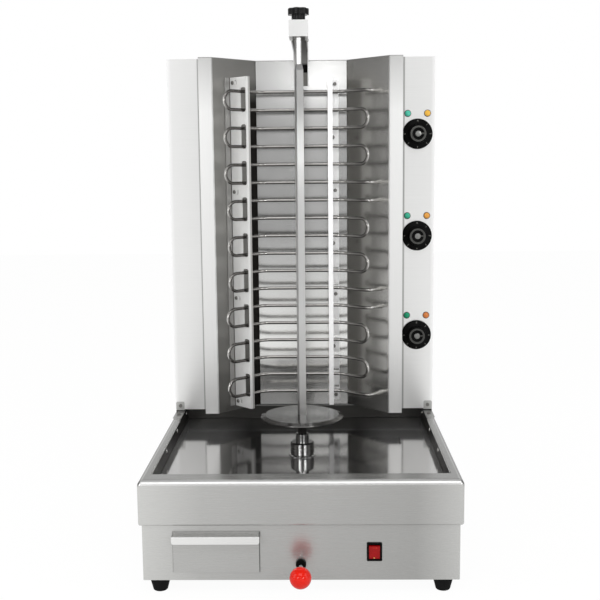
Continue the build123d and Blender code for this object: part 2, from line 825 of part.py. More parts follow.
def side_reflector():
    """Right reflector sheet: return, front strip, angled panel and rear flange."""
    t = sheet
    k = t * tan(radians(22.5))
    top = tower_top_z - sheet
    points = [(casing_inner, casing_y + return_overlap), (casing_inner, strip_y), (strip_inner, strip_y),
              (back_half - t, back_y + t), (back_half - t - reflector_flange, back_y + t),
              (back_half - t - reflector_flange, back_y + 2 * t), (back_half - t + k, back_y + 2 * t),
              (strip_inner + k, strip_y + t), (casing_inner - t, strip_y + t),
              (casing_inner - t, casing_y + return_overlap)]
    return plate(points, tower_bottom_z - 1.0, top)


def ferrule_axis():
    """Plan place where an element end meets the right reflector, on its visible face."""
    turn = radians(rod_turn)
    x = corner_half + terminal_reach
    y = rod_y - terminal_reach * tan(turn)
    depth = (strip_y + strip_inner - x - y) / 2
    return x + depth, y + depth


def terminal_heights():
    rows = []
    for element in range(element_count):
        rows += [rod_z(element * rods_per_element), rod_z((element + 1) * rods_per_element - 1)]
    return rows


def right_reflector():
    body = side_reflector()
    x, y = ferrule_axis()
    for z in terminal_heights():
        body -= Plane(origin=(x, y, z), z_dir=(facing, facing, 0)) * Cylinder(ferrule_radius, 12.0)
    return body


def left_reflector():
    return mirrored(side_reflector())


def back_reflector():
    half = back_half - sheet - seam_gap
    body = block(-half, half, back_y, back_y + sheet, tower_bottom_z - 1.0, tower_top_z - sheet)
    return drill(body, support_leg_places() + arm_screw_places())


def tower_top_cover():
    half = casing_inner
    points = [(-half, cover_y), (-half, strip_y), (-strip_inner, strip_y), (-back_half, back_y),
              (back_half, back_y), (strip_inner, strip_y), (half, strip_y), (half, cover_y)]
    return plate(points, tower_top_z - sheet, tower_top_z)


def tower_floor():
    """Bottom sheet of the tower, on two low cross rails that stand on the base's rear deck."""
    t = sheet
    edge = half_tower - t
    behind = casing_y + return_overlap + seam_gap
    slope = strip_y + strip_inner + 2 * t * facing + seam_gap
    rear = back_y + 2 * t + seam_gap
    right = [(edge, cover_y - t), (edge, casing_y + t), (casing_inner + t, casing_y + t),
             (casing_inner + t, behind), (slope - behind, behind), (slope - rear, rear)]
    left = [(-x, y) for x, y in reversed(right)]
    body = plate(right + left, tower_bottom_z, tower_bottom_z + t)
    for y in (casing_y + 85.0, cover_y - 12.0):
        body += block(-edge, edge, y, y + 2 * t, rim_top_z, tower_bottom_z)
    return body - post(loom_x, loom_y, rim_top_z - 1, tower_bottom_z + 3, loom_radius + grommet_gap)


def rear_cover():
    half = half_tower - sheet
    body = block(-half, half, cover_y - sheet, cover_y, tower_bottom_z, tower_top_z - sheet)
    for column in (-1, 0, 1):
        for band in (0.22, 0.78):
            for row in range(8):
                x = 150.0 * column - vent_length / 2
                z = tower_bottom_z + tower_height * band + 11.0 * (row - 4)
                body -= block(x, x + vent_length, cover_y - 2 * sheet, cover_y + 1, z, z + vent_height)
    return drill(body, cover_screw_places() + rear_bracket_places()[:2])


def corner_brackets():
    """Two long brackets at the tower's front corners and two short ones behind it."""
    brackets = []
    for side in (-1, 1):
        x = sorted((side * (well_half - 2.0), side * (well_half - 2.0 + bracket_width)))
        leg = block(*x, casing_y - bracket_leg, casing_y, rim_top_z, rim_top_z + sheet)
        face = block(*x, casing_y - sheet, casing_y, rim_top_z, rim_top_z + bracket_rise)
        face = fillet(face.edges().filter_by(Axis.Y).group_by(Axis.Z)[-1], 3.0)
        brackets.append(drill(leg + face, front_bracket_places()))
        middle = side * 0.57 * half_tower
        x = (middle - bracket_width / 2, middle + bracket_width / 2)
        leg = block(*x, cover_y, cover_y + rear_bracket_leg, rim_top_z, rim_top_z + sheet)
        face = block(*x, cover_y, cover_y + sheet, rim_top_z, rim_top_z + bracket_rise)
        brackets.append(drill(leg + face, rear_bracket_places()))
    return group(brackets)


# Heating elements

def rod_z(row):
    """Height of a rod, row 0 at the top."""
    return top_rod_z - row * rod_pitch


def hairpin_end(side, reach):
    """Plan place where a hairpin's half circle starts, on the left (-1) or right (1)."""
    turn = radians(rod_turn)
    along = reach / cos(turn) - rod_pitch / 2
    return side * (corner_half + along * cos(turn)), rod_y - along * sin(turn)


def hairpin(side, reach, z):
    """Half circle down from one rod to the next, in the plane of the bent rod ends."""
    turn = radians(rod_turn)
    x, y = hairpin_end(side, reach)
    radius = rod_pitch / 2
    tip = (x + side * radius * cos(turn), y - radius * sin(turn), z - radius)
    return ThreePointArc((x, y, z), tip, (x, y, z - rod_pitch)).edge()


def element_path(first_row):
    """One unbroken line from terminal to terminal through the rods of an element."""
    x, y = ferrule_axis()
    turn = radians(rod_turn)
    knee = (corner_half + terminal_reach, rod_y - terminal_reach * tan(turn))
    tail = (x + terminal_tail * facing, y + terminal_tail * facing)
    left_reach = left_reaches[first_row // rods_per_element]
    left = hairpin_end(-1, left_reach)
    right = hairpin_end(1, right_reach)
    corner_left = (-corner_half, rod_y)
    corner_right = (corner_half, rod_y)
    edges = []
    for i in range(rods_per_element):
        z = rod_z(first_row + i)
        at_terminal = i in (0, rods_per_element - 1)
        far = [tail, knee] if at_terminal else [right]
        radii = [terminal_bend_radius, rod_bend_radius] if at_terminal else [rod_bend_radius]
        plan = far + [corner_right, corner_left, left]
        radii = radii + [rod_bend_radius]
        if i % 2:
            plan = plan[::-1]
            radii = radii[::-1]
        edges += FilletPolyline(*[(px, py, z) for px, py in plan], radius=radii).edges()
        if i < rods_per_element - 1:
            edges.append(hairpin(-1, left_reach, z) if i % 2 == 0 else hairpin(1, right_reach, z))
    return Wire(edges)


def heating_element(first_row):
    path = element_path(first_row)
    start = Plane(origin=path @ 0, z_dir=path % 0)
    return sweep(start * Circle(rod_radius), path=path)


def element_ferrules():
    """Flared sleeves with a flange, locked by a nut, where element ends pass the right panel."""
    x, y = ferrule_axis()
    flange = ferrule_radius + 1.2
    back = sheet + ferrule_nut_height
    outline = [(rod_radius, -ferrule_reach), (rod_radius + 0.5, -ferrule_reach),
               (ferrule_radius, ferrule_cone - ferrule_reach), (ferrule_radius, -1.2), (flange, -1.2),
               (flange, 0), (ferrule_radius, 0), (ferrule_radius, back + 3.0), (rod_radius, back + 3.0)]
    sleeve = turned(outline, 0, 0)
    nut = Pos(0, 0, sheet) * extrude(RegularPolygon(ferrule_nut_radius, 6), amount=ferrule_nut_height)
    body = sleeve + (nut - Cylinder(rod_radius, 40.0))
    return group([Plane(origin=(x, y, z), z_dir=(facing, facing, 0)) * body for z in terminal_heights()])


# Element supports, drawn in a frame whose x runs along the panel and y out of it

def strip_profile():
    """Web and lip of a support strip, upright, with the web's outer face on x = 0."""
    low = support_bottom_z
    high = support_top_z
    web = block(0, sheet, sheet, support_web, low, high)
    lip = block(0, support_lip, support_web - sheet, support_web, low, high)
    return web + lip


def angle_profile():
    low = support_bottom_z
    high = support_top_z
    leg = block(-support_leg, 2 * sheet, 0, sheet, low, high)
    fin = block(sheet, 2 * sheet, 0, 28.0, low, high)
    return leg + fin


def left_support_frame():
    """Place on the left panel: x runs up the panel to the back, y straight out of it."""
    origin = (-support_left_x, strip_y + strip_inner - support_left_x, 0)
    return Plane(origin=origin, x_dir=(facing, facing, 0), z_dir=(0, 0, -1))


def right_support_frame():
    return Plane(origin=(support_right_x, back_y, 0), x_dir=(-1, 0, 0), z_dir=(0, 0, 1))


def flipped(shape):
    """Turn an upright shape over, so that a frame with z down sets it upright again."""
    return mirror(shape, about=Plane.XY)


def rod_line_at_left_web():
    """Plan place where a rod crosses the left web, and how far that is from the panel."""
    turn = radians(rod_turn)
    total = strip_y + strip_inner - 2 * support_left_x
    along = (rod_y - corner_half - total) / (cos(turn) + sin(turn))
    return -corner_half - along * cos(turn), rod_y - along * sin(turn)


def loop_windows(reach, pairs):
    """Upright windows in a web, each from just under a pair's lower rod to above its upper one."""
    low = reach - rod_radius - loop_slot_side
    high = support_web - sheet - rod_hole_gap
    tools = []
    for upper, lower in pairs:
        bottom = rod_z(lower) - rod_radius - rod_hole_gap
        top = rod_z(upper) + rod_radius + loop_slot_headroom
        window = extrude(RectangleRounded(high - low, top - bottom, loop_slot_corner), amount=6.0, both=True)
        upright = Plane(origin=(0, (low + high) / 2, (top + bottom) / 2), x_dir=(0, 1, 0), z_dir=(1, 0, 0))
        tools.append(upright * window)
    return tools


def left_strip_slots():
    x, y = left_web_place(support_slot_reach)
    width, length = support_slot
    slot = extrude(SlotOverall(length, width), amount=4.0, both=True)
    frames = [Plane(origin=(x, y, z), x_dir=(0, 0, 1), z_dir=(facing, facing, 0)) for z in support_heights()]
    return [frame * slot for frame in frames]


def left_support_strip():
    """Strip whose windows let the left loops through, as an element is pushed in from the right."""
    x = rod_line_at_left_web()[0]
    reach = (support_left_x + x) / facing
    body = strip_profile()
    for window in loop_windows(reach, [(row, row + 1) for row in range(0, rod_count, 2)]):
        body -= window
    body = left_support_frame() * flipped(body)
    for slot in left_strip_slots():
        body -= slot
    return drill(body, left_web_screw_places())


def right_support_strip():
    """Strip with a window for each right loop and one for each straight terminal end."""
    pairs = []
    for first in range(0, rod_count, rods_per_element):
        pairs += [(first, first), (first + 1, first + 2), (first + 3, first + 4), (first + 5, first + 5)]
    body = strip_profile()
    for window in loop_windows(back_y - rod_y, pairs):
        body -= window
    return drill(right_support_frame() * body, right_web_screw_places())


def support_angles():
    left = drill(left_support_frame() * flipped(angle_profile()), left_web_screw_places())
    for slot in left_strip_slots():
        left -= slot
    right = right_support_frame() * angle_profile()
    for row in range(rod_count):
        z = rod_z(row)
        right -= block(support_right_x + 0.6, support_right_x + notch_width, back_y - sheet - 1, back_y,
                       z - notch_height / 2, z + notch_height / 2)
    right = drill(right, right_web_screw_places() + support_leg_places())
    return group([left, right])


# Dials, thermostats and lamps

def dial_heights():
    return [dial_mid_z + step * dial_pitch for step in (1, 0, -1)]


def dial(z):
    """Skirted dial with a fluted grip and a dished face, on its spindle."""
    back = casing_y - dial_gap
    skirt = back - dial_skirt
    face = back - dial_height
    grip = dial_grip_radius
    outline = [(spindle_radius, back), (dial_radius - 1.0, back), (dial_radius, back - 1.0),
               (dial_radius - 0.4, skirt), (grip + 2.5, skirt - 3.5), (grip, skirt - 5.0),
               (grip - 1.0, face + 1.2), (grip - 2.4, face), (grip - 4.4, face + 0.8), (0, face + 4.0),
               (0, back - 9.0), (spindle_radius, back - 9.0)]
    knob = turned_y(outline, dial_x, z)
    flute = bar_y(0, grip + 1.2, face - 1, skirt - 5.2, dial_flute_radius)
    for i in range(dial_flutes):
        knob -= Pos(dial_x, 0, z) * Rot(0, 360.0 / dial_flutes * i, 0) * flute
    spindle = bar_y(dial_x, z, back - 9.0, casing_y + sheet + 12.0, spindle_radius)
    return knob + spindle


def thermostat(z):
    """Control behind the panel, with the bore that the dial's spindle turns in."""
    front = casing_y + sheet
    body = bar_y(dial_x, z, front, front + thermostat_depth, thermostat_radius)
    body += block(dial_x - 22.0, dial_x + 22.0, front, front + 2.0, z - 12.0, z + 12.0)
    return body - bar_y(dial_x, z, front - 1, front + 14.0, spindle_radius + running_gap)


def lamp_places():
    """Plan place and height of each lamp: green ones on the left of a dial, amber on the right."""
    return {side: [(dial_x + side * lamp_offset, z + lamp_rise) for z in dial_heights()] for side in (-1, 1)}


def lamp_bodies():
    bodies = []
    outline = [(lamp_lens_radius - 0.8, -2.0), (lamp_bezel_radius - 0.8, -2.0), (lamp_bezel_radius, -1.2),
               (lamp_bezel_radius, 0), (lamp_lens_radius, 0), (lamp_lens_radius, lamp_body_depth),
               (0, lamp_body_depth), (0, 4.0), (lamp_lens_radius - 0.8, 4.0)]
    for places in lamp_places().values():
        bodies += [turned_y(outline, x, z, casing_y) for x, z in places]
    return group(bodies)


def lenses(side):
    """Domed lenses that stand in the lamp bodies."""
    r = lamp_lens_radius - 0.8
    outline = [(0, -4.4), (0.45 * r, -4.2), (0.8 * r, -3.5), (r, -2.2), (r, 4.0), (0, 4.0)]
    return group([turned_y(outline, x, z, casing_y) for x, z in lamp_places()[side]])


# Top arm

def top_arm():
    """Channel, open below, that runs forward from a leg screwed on the back reflector."""
    half = arm_width / 2
    low = arm_bottom_z + sheet + arm_slide_gap
    high = low + arm_height
    arm = block(-half, half, arm_front_y, back_y, low, high)
    arm -= block(-half + arm_sheet, half - arm_sheet, arm_front_y - 1, back_y - arm_sheet,
                 low - 1, high - arm_sheet)
    leg_half = arm_leg_width / 2
    leg = block(-leg_half, leg_half, back_y - arm_leg_depth, back_y, arm_bottom_z - arm_leg_drop, low + 8.0)
    leg -= block(-leg_half + arm_sheet, leg_half - arm_sheet, back_y - arm_leg_depth - 1, back_y - arm_sheet,
                 arm_bottom_z - arm_leg_drop - 1, low + 9.0)
    arm += leg
    slot_half = pin_radius + 0.6
    slot = block(-slot_half, slot_half, arm_front_y - 1, spit_y + carriage_travel, low, high + 1)
    slot += post(0, spit_y + carriage_travel, low, high + 1, slot_half)
    return drill(arm - slot, arm_screw_places())


def arm_sleeve():
    """Box that slides on the arm's front end and carries the lock pin."""
    y0 = sleeve_front_y
    y1 = y0 + sleeve_length
    inside = sleeve_half - sheet
    mouth = inside - sleeve_lip
    body = block(-sleeve_half, sleeve_half, y0, y1, arm_bottom_z, sleeve_top_z)
    body = fillet(body.edges().filter_by(Axis.Y).group_by(Axis.Z)[-1], 1.2)
    body -= block(-inside, inside, y0 + sheet, y1 + 1, arm_bottom_z + sheet, sleeve_top_z - sheet)
    body -= block(-mouth, mouth, y0 + sheet, y1 + 1, arm_bottom_z - 1, sleeve_top_z - 9)
    return body - post(0, spit_y, sleeve_top_z - 5, sleeve_top_z + 1, pin_radius + running_gap)


def lock_pin():
    shoulder = spit_top_z + pin_gap
    pin = post(0, spit_y, shoulder, sleeve_top_z + knob_neck_height + 6.0, pin_radius)
    nose = post(0, spit_y, shoulder - pin_nose_length, shoulder, pin_nose_radius)
    return pin + chamfer(nose.edges().group_by(Axis.Z)[0], 1.0)


def star_knob():
    """Black fluted knob on the pin."""
    low = sleeve_top_z + sliding_gap
    shoulder = low + knob_neck_height
    head = post(0, spit_y, shoulder, shoulder + knob_height, knob_radius)
    for i in range(knob_flutes):
        turn = radians(360.0 / knob_flutes * (i + 0.5))
        reach = knob_radius + 2.6
        head -= post(reach * cos(turn), spit_y + reach * sin(turn), shoulder - 1, shoulder + knob_height + 1,
                     knob_flute_radius)
    head = chamfer(head.edges().group_by(Axis.Z)[-1], 1.2)
    neck = turned([(0, low), (knob_neck_radius - 1.0, low), (knob_neck_radius, low + 1.0),
                   (knob_neck_radius, shoulder), (0, shoulder)], 0, spit_y)
    return head + neck - post(0, spit_y, low - 1, sleeve_top_z + knob_neck_height + 6.0, pin_radius)


# Gland, terminal block and wiring

def cable_gland():
    """Gland in the rear wall for a supply cable, with its lock nut inside."""
    neck = gland_bore + 3.0
    outline = [(gland_bore, -12.0), (neck, -12.0), (neck, -sheet - 5.0), (neck + 6.0, -sheet - 5.0),
               (neck + 6.0, -sheet), (neck, -sheet), (neck, 0), (neck + 7.0, 0), (neck + 7.0, 8.0),
               (neck + 4.5, 9.0), (neck + 4.5, gland_reach - 4.0), (neck, gland_reach),
               (gland_bore, gland_reach)]
    return turned_y(outline, gland_x, gland_z, panel_back_y)


def terminal_block():
    body = block(loom_x - 35.0, loom_x + 35.0, loom_y - 14.0, loom_y + 14.0, floor_top_z, floor_top_z + 24.0)
    for step in (-2, -1, 1, 2):
        x = loom_x + 14.0 * step
        body -= block(x - 4.5, x + 4.5, loom_y - 9.0, loom_y + 9.0, floor_top_z + 16.0, floor_top_z + 25.0)
    return body


def wiring_loom():
    """Main bundle up from the terminal block, with a branch to each thermostat."""
    top = dial_heights()[0]
    loom = post(loom_x, loom_y, floor_top_z + 24.0, top, loom_radius)
    back = casing_y + sheet + thermostat_depth
    for z in dial_heights():
        route = FilletPolyline((loom_x, loom_y, z), (dial_x, loom_y, z), (dial_x, back, z), radius=25.0)
        start = Plane(origin=route @ 0, z_dir=route % 0)
        loom += sweep(start * Circle(loom_branch_radius), path=route)
    return loom + Pos(loom_x, loom_y, top) * Sphere(loom_radius)


# Every node by name

def build_all():
    nodes = {
        "lower_housing": lower_housing(),
        "base_floor": base_floor(),
        "top_frame": top_frame(),
        "drip_tray": drip_tray(),
        "tray_rivets": tray_rivets(),
        "drain_spout": drain_spout(),
        "rubber_feet": rubber_feet(),
        "drawer_pan": drawer_pan(),
        "drawer_front": drawer_front(),
        "drawer_runners": drawer_runners(),
        "switch_body": switch_body(),
        "switch_rocker": switch_rocker(),
        "rail_brackets": rail_brackets(),
        "guide_rails": guide_rails(),
        "slide_bearings": slide_bearings(),
        "carriage_plate": carriage_plate(),
        "gearbox": gearbox(),
        "drive_motor": drive_motor(),
        "shaft_bearing": shaft_bearing(),
        "shaft_guard": shaft_guard(),
        "push_rod": push_rod(),
        "red_ball": red_ball(),
        "rod_bushing": rod_bushing(),
        "output_shaft": output_shaft(),
        "drive_boss": drive_boss(),
        "meat_disc": meat_disc(),
        "spit_bar": spit_bar(),
        "left_casing": mirrored(side_casing()),
        "right_casing": right_casing(),
        "left_reflector": left_reflector(),
        "right_reflector": right_reflector(),
        "back_reflector": back_reflector(),
        "tower_top_cover": tower_top_cover(),
        "tower_floor": tower_floor(),
        "rear_cover": rear_cover(),
        "corner_brackets": corner_brackets(),
        "element_ferrules": element_ferrules(),
        "left_support_strip": left_support_strip(),
        "right_support_strip": right_support_strip(),
        "support_angles": support_angles(),
        "lamp_bodies": lamp_bodies(),
        "green_lenses": lenses(-1),
        "amber_lenses": lenses(1),
        "top_arm": top_arm(),
        "arm_sleeve": arm_sleeve(),
        "lock_pin": lock_pin(),
        "star_knob": star_knob(),
        "cable_gland": cable_gland(),
        "terminal_block": terminal_block(),
        "wiring_loom": wiring_loom(),
        "screws_and_nuts": screws_and_nuts(),
    }
    for i, level in enumerate(("upper", "middle", "lower")):
        nodes["heating_element_" + level] = heating_element(i * rods_per_element)
        nodes["thermostat_" + level] = thermostat(dial_heights()[i])
        nodes["dial_" + level] = dial(dial_heights()[i])
    return nodes


os.makedirs("parts", exist_ok=True)
for node_name, node_shape in build_all().items():
    write_node(node_name, node_shape)
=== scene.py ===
import bmesh
import math
import bpy
import numpy as np
from mathutils import Matrix, Vector


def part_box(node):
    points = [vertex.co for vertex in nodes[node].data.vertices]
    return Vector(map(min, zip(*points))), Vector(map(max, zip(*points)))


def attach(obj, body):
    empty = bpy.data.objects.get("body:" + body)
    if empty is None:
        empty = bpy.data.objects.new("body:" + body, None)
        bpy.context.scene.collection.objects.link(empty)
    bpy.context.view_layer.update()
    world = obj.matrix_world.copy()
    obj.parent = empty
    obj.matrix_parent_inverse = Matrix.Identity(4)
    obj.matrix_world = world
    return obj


# Electric doner kebab grill: finishes, fine pieces, light and camera, in metres.

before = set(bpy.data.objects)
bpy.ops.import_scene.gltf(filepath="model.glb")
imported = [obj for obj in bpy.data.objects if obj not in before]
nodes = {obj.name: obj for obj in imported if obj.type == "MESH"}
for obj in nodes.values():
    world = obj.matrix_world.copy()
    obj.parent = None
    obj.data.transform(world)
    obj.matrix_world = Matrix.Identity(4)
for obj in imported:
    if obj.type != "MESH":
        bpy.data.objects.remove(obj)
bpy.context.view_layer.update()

apron_y = float(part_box("top_frame")[0][1])
back_panel_y = float(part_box("back_reflector")[0][1])
drawer_left_x = float(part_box("drawer_front")[0][0])
drawer_right_x = float(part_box("drawer_front")[1][0])
spit_y = apron_y + 0.2370
dial_x = 0.230
dial_heights = {"upper": 0.7545, "middle": 0.5530, "lower": 0.3515}
dial_skirt_y = apron_y + 0.4464
dial_face_y = apron_y + 0.4294
# The left support's angle stands at 45 degrees, and its corner runs upwards at this x + y and x - y
left_web_sum = 0.03295
left_web_difference = -0.31495
# Directions of the brushing, and the way out of the front
along_x = (1.0, 0.1, 0.0)
along_y = (0.1, 1.0, 0.0)
along_z = (0.0, 0.05, 1.0)
forward = (0.0, -1.0, 0.0)


# Colour and node helpers

def linear(hex_colour):
    """An sRGB hex colour as linear red, green, blue and 1."""
    values = [int(hex_colour[i:i + 2], 16) / 255 for i in (1, 3, 5)]
    return [v / 12.92 if v <= 0.04045 else ((v + 0.055) / 1.055) ** 2.4 for v in values] + [1.0]


def add(tree, kind, inputs=(), output=0, **settings):
    """Adds one node and gives one output; inputs are values, hex colours or sockets, in order or by place."""
    made = tree.nodes.new("ShaderNode" + kind)
    for name, value in settings.items():
        setattr(made, name, value)
    for place, value in inputs.items() if isinstance(inputs, dict) else enumerate(inputs):
        if isinstance(value, bpy.types.NodeSocket):
            tree.links.new(value, made.inputs[place])
        elif value is not None:
            made.inputs[place].default_value = linear(value) if isinstance(value, str) else value
    return made.outputs[output]


def start_material(name, metallic=0.0):
    """A new material with its tree, its shader and Object coordinates."""
    material = bpy.data.materials.new(name)
    material.use_nodes = True
    tree = material.node_tree
    shader = tree.nodes["Principled BSDF"]
    shader.inputs["Metallic"].default_value = metallic
    return material, tree, shader, add(tree, "TexCoord", output="Object")


def set_surface(tree, shader, colour, roughness, relief=None, depth=0.0):
    """Feeds colour and roughness to the shader, and a relief of the given depth in metres."""
    tree.links.new(colour, shader.inputs["Base Color"])
    tree.links.new(roughness, shader.inputs["Roughness"])
    if relief:
        raised = add(tree, "Bump", {"Height": relief, "Distance": depth})
        tree.links.new(raised, shader.inputs["Normal"])


def marks(tree, place, size, detail=3.0, rough=0.6):
    """Irregular marks; size is their length in mm along x, y and z."""
    per_metre = tuple(1000.0 / length for length in size)
    scaled = add(tree, "VectorMath", [place, per_metre], operation="MULTIPLY")
    return add(tree, "TexNoise", {"Vector": scaled, "Scale": 1.0, "Detail": detail, "Roughness": rough})


def follow(tree, pattern, low, high):
    """A value or hex colour that follows the marks: low where they are at 0.3, high where they are at 0.7."""
    if isinstance(low, str):
        return layered(tree, low, (add(tree, "MapRange", [pattern, 0.3, 0.7]), high))
    return add(tree, "MapRange", [pattern, 0.3, 0.7, low, high])


def layered(tree, colour, *coats):
    """Lays each coat over the ones before it; a coat is the share that it covers and its colour."""
    for share, over in coats:
        colour = add(tree, "Mix", {0: share, 6: colour, 7: over}, 2, data_type="RGBA")
    return colour


def overlap(tree, share, *others):
    """Share that all of the given shares cover at once: their product."""
    for other in others:
        share = add(tree, "Math", [share, other], operation="MULTIPLY")
    return share


def band(tree, value, low, high, soft=0.0005):
    """1 from low to high and 0 outside, with edges that reach soft to either side."""
    rising = add(tree, "MapRange", [value, low - soft, low + soft])
    falling = add(tree, "MapRange", [value, high + soft, high - soft])
    return overlap(tree, rising, falling)


def side_distance(tree, place):
    """Distance to the left or right of the middle, the same for both sides."""
    return add(tree, "Math", [add(tree, "SeparateXYZ", [place], "X")], operation="ABSOLUTE")


def facing(tree, axis):
    """How far the surface faces along an axis, from -1 to 1."""
    return add(tree, "SeparateXYZ", [add(tree, "NewGeometry", output="Normal")], axis)


def grain_blur(tree, shader, grain_way, amount):
    """Stretches reflections across the brushing: tangent = brushing direction x surface normal."""
    normal = add(tree, "NewGeometry", output="Normal")
    tangent = add(tree, "VectorMath", [grain_way, normal], operation="CROSS_PRODUCT")
    tree.links.new(tangent, shader.inputs["Tangent"])
    shader.inputs["Anisotropic"].default_value = amount


# Finishes that several pieces share. A belt's scratches are about 0.05 mm wide and a mould's grain 0.1 mm.
# Neither would show, so the scratches are drawn 0.25 to 1.1 mm wide and the grain 1.1 mm.

def brushed_sheet(name, dark, light, mark_size, grain_way, roughness, stretch):
    """Brushed stainless sheet: parallel scratches, 1.5 microns deep, blur reflections across the grain."""
    material, tree, shader, place = start_material(name, 1.0)
    scratches = marks(tree, place, mark_size, 4.0, 0.7)
    clouds = marks(tree, place, (166.7, 166.7, 166.7), 2.0)
    varied = add(tree, "Math", [follow(tree, scratches, roughness - 0.02, roughness + 0.02),
                                follow(tree, clouds, -0.02, 0.02)])
    set_surface(tree, shader, follow(tree, scratches, dark, light), varied, scratches, 0.0000015)
    grain_blur(tree, shader, grain_way, stretch)
    return material


def plain_metal(name, dark, light, roughness, mottle_size=5.0, depth=0.00001):
    """Small metal parts: an even colour with faint mottling, its size in mm."""
    material, tree, shader, place = start_material(name, 1.0)
    mottle = marks(tree, place, (mottle_size, mottle_size, mottle_size), 2.0)
    set_surface(tree, shader, follow(tree, mottle, dark, light),
                follow(tree, mottle, roughness - 0.04, roughness + 0.04), mottle, depth)
    return material


def plastic(name, dark, light, roughness, grain_size=1.111, depth=0.000003, gloss=0.5):
    """Moulded plastic or rubber: an even colour in 25 mm clouds, and the mould's grain, its size in mm."""
    material, tree, shader, place = start_material(name)
    shader.inputs["Specular IOR Level"].default_value = gloss
    fine = marks(tree, place, (grain_size, grain_size, grain_size), 2.0)
    broad = marks(tree, place, (25.0, 25.0, 25.0), 2.0)
    set_surface(tree, shader, follow(tree, broad, dark, light),
                follow(tree, fine, roughness - 0.03, roughness + 0.03), fine, depth)
    return material


# Finishes made for one kind of piece

def casing_sheet():
    """Brushed stainless casing: scratches 83 mm long give a satin face that draws reflections out upwards.

    The outer fold is painted paler, a painted highlight. Everything inward of the inner fold, and so the
    covers between the casings, is painted darker as painted shade for the fold's corner, and the side faces
    are painted darker too, as painted shade."""
    material, tree, shader, place = start_material("brushed stainless casing", 1.0)
    scratches = marks(tree, place, (83.33, 0.25, 0.25))
    across = side_distance(tree, place)
    # Painted highlight on the outer fold
    fold_highlight = add(tree, "MapRange", [across, 0.2565, 0.2635])
    # Painted shade inward of the inner fold, the covers between the casings included
    inward = add(tree, "MapRange", [across, 0.2040, 0.2055, 0.75, 0.0])
    turned_away = add(tree, "Math", [facing(tree, "X")], operation="ABSOLUTE")
    # Painted shade on the side faces
    side = add(tree, "MapRange", [turned_away, 0.80, 0.95])
    sheet = layered(tree, follow(tree, scratches, "#e9e9e8", "#efefee"),
                    (fold_highlight, "#fbfbfb"), (inward, "#8c8c8a"), (side, "#a4a4a2"))
    set_surface(tree, shader, sheet, follow(tree, scratches, 0.28, 0.32))
    grain_blur(tree, shader, along_x, 0.8)
    return material


def reflector_sheet(name, roughness, dark, light, low_end_light_and_shade, inner_edge_shade):
    """Stainless reflector: its front strip is brushed pale, the panel behind it is polished and wiped.

    The panel's low end is painted in a tone of its own, which stands in for light and shade there, and its
    inner edge up to the top of the rods is painted darker, as painted shade in the corner. The strip is
    painted darker towards its top, as painted shade. Wipe marks are 111 mm wide and 50 microns deep, which
    makes reflections waver."""
    material, tree, shader, place = start_material(name, 1.0)
    depth = add(tree, "SeparateXYZ", [place], "Y")
    height = add(tree, "SeparateXYZ", [place], "Z")
    behind = add(tree, "MapRange", [depth, apron_y + 0.4178, apron_y + 0.4184])
    wipes = marks(tree, place, (111.1, 111.1, 71.43))
    scratches = marks(tree, place, (0.3333, 0.3333, 83.33))
    # Painted light and shade at the panel's low end, painted shade along its inner edge
    low_end = add(tree, "MapRange", [height, 0.5, 0.24])
    near_rods = add(tree, "MapRange", [side_distance(tree, place), 0.1125, 0.1115])
    below_top = add(tree, "MapRange", [height, 0.87, 0.82])
    panel = layered(tree, follow(tree, wipes, dark, light),
                    (low_end, low_end_light_and_shade), (overlap(tree, near_rods, below_top), inner_edge_shade))
    # Painted shade: the strip darkens towards its top
    strip_top = add(tree, "MapRange", [height, 0.80, 0.90])
    strip = layered(tree, follow(tree, scratches, "#e2e2e1", "#e8e8e7"), (strip_top, "#c4c4c3"))
    varied = add(tree, "MapRange", [behind, 0.0, 1.0, 0.36, roughness])
    set_surface(tree, shader, layered(tree, strip, (behind, panel)), varied, wipes, 0.00005)
    grain_blur(tree, shader, along_x, 0.3)
    return material


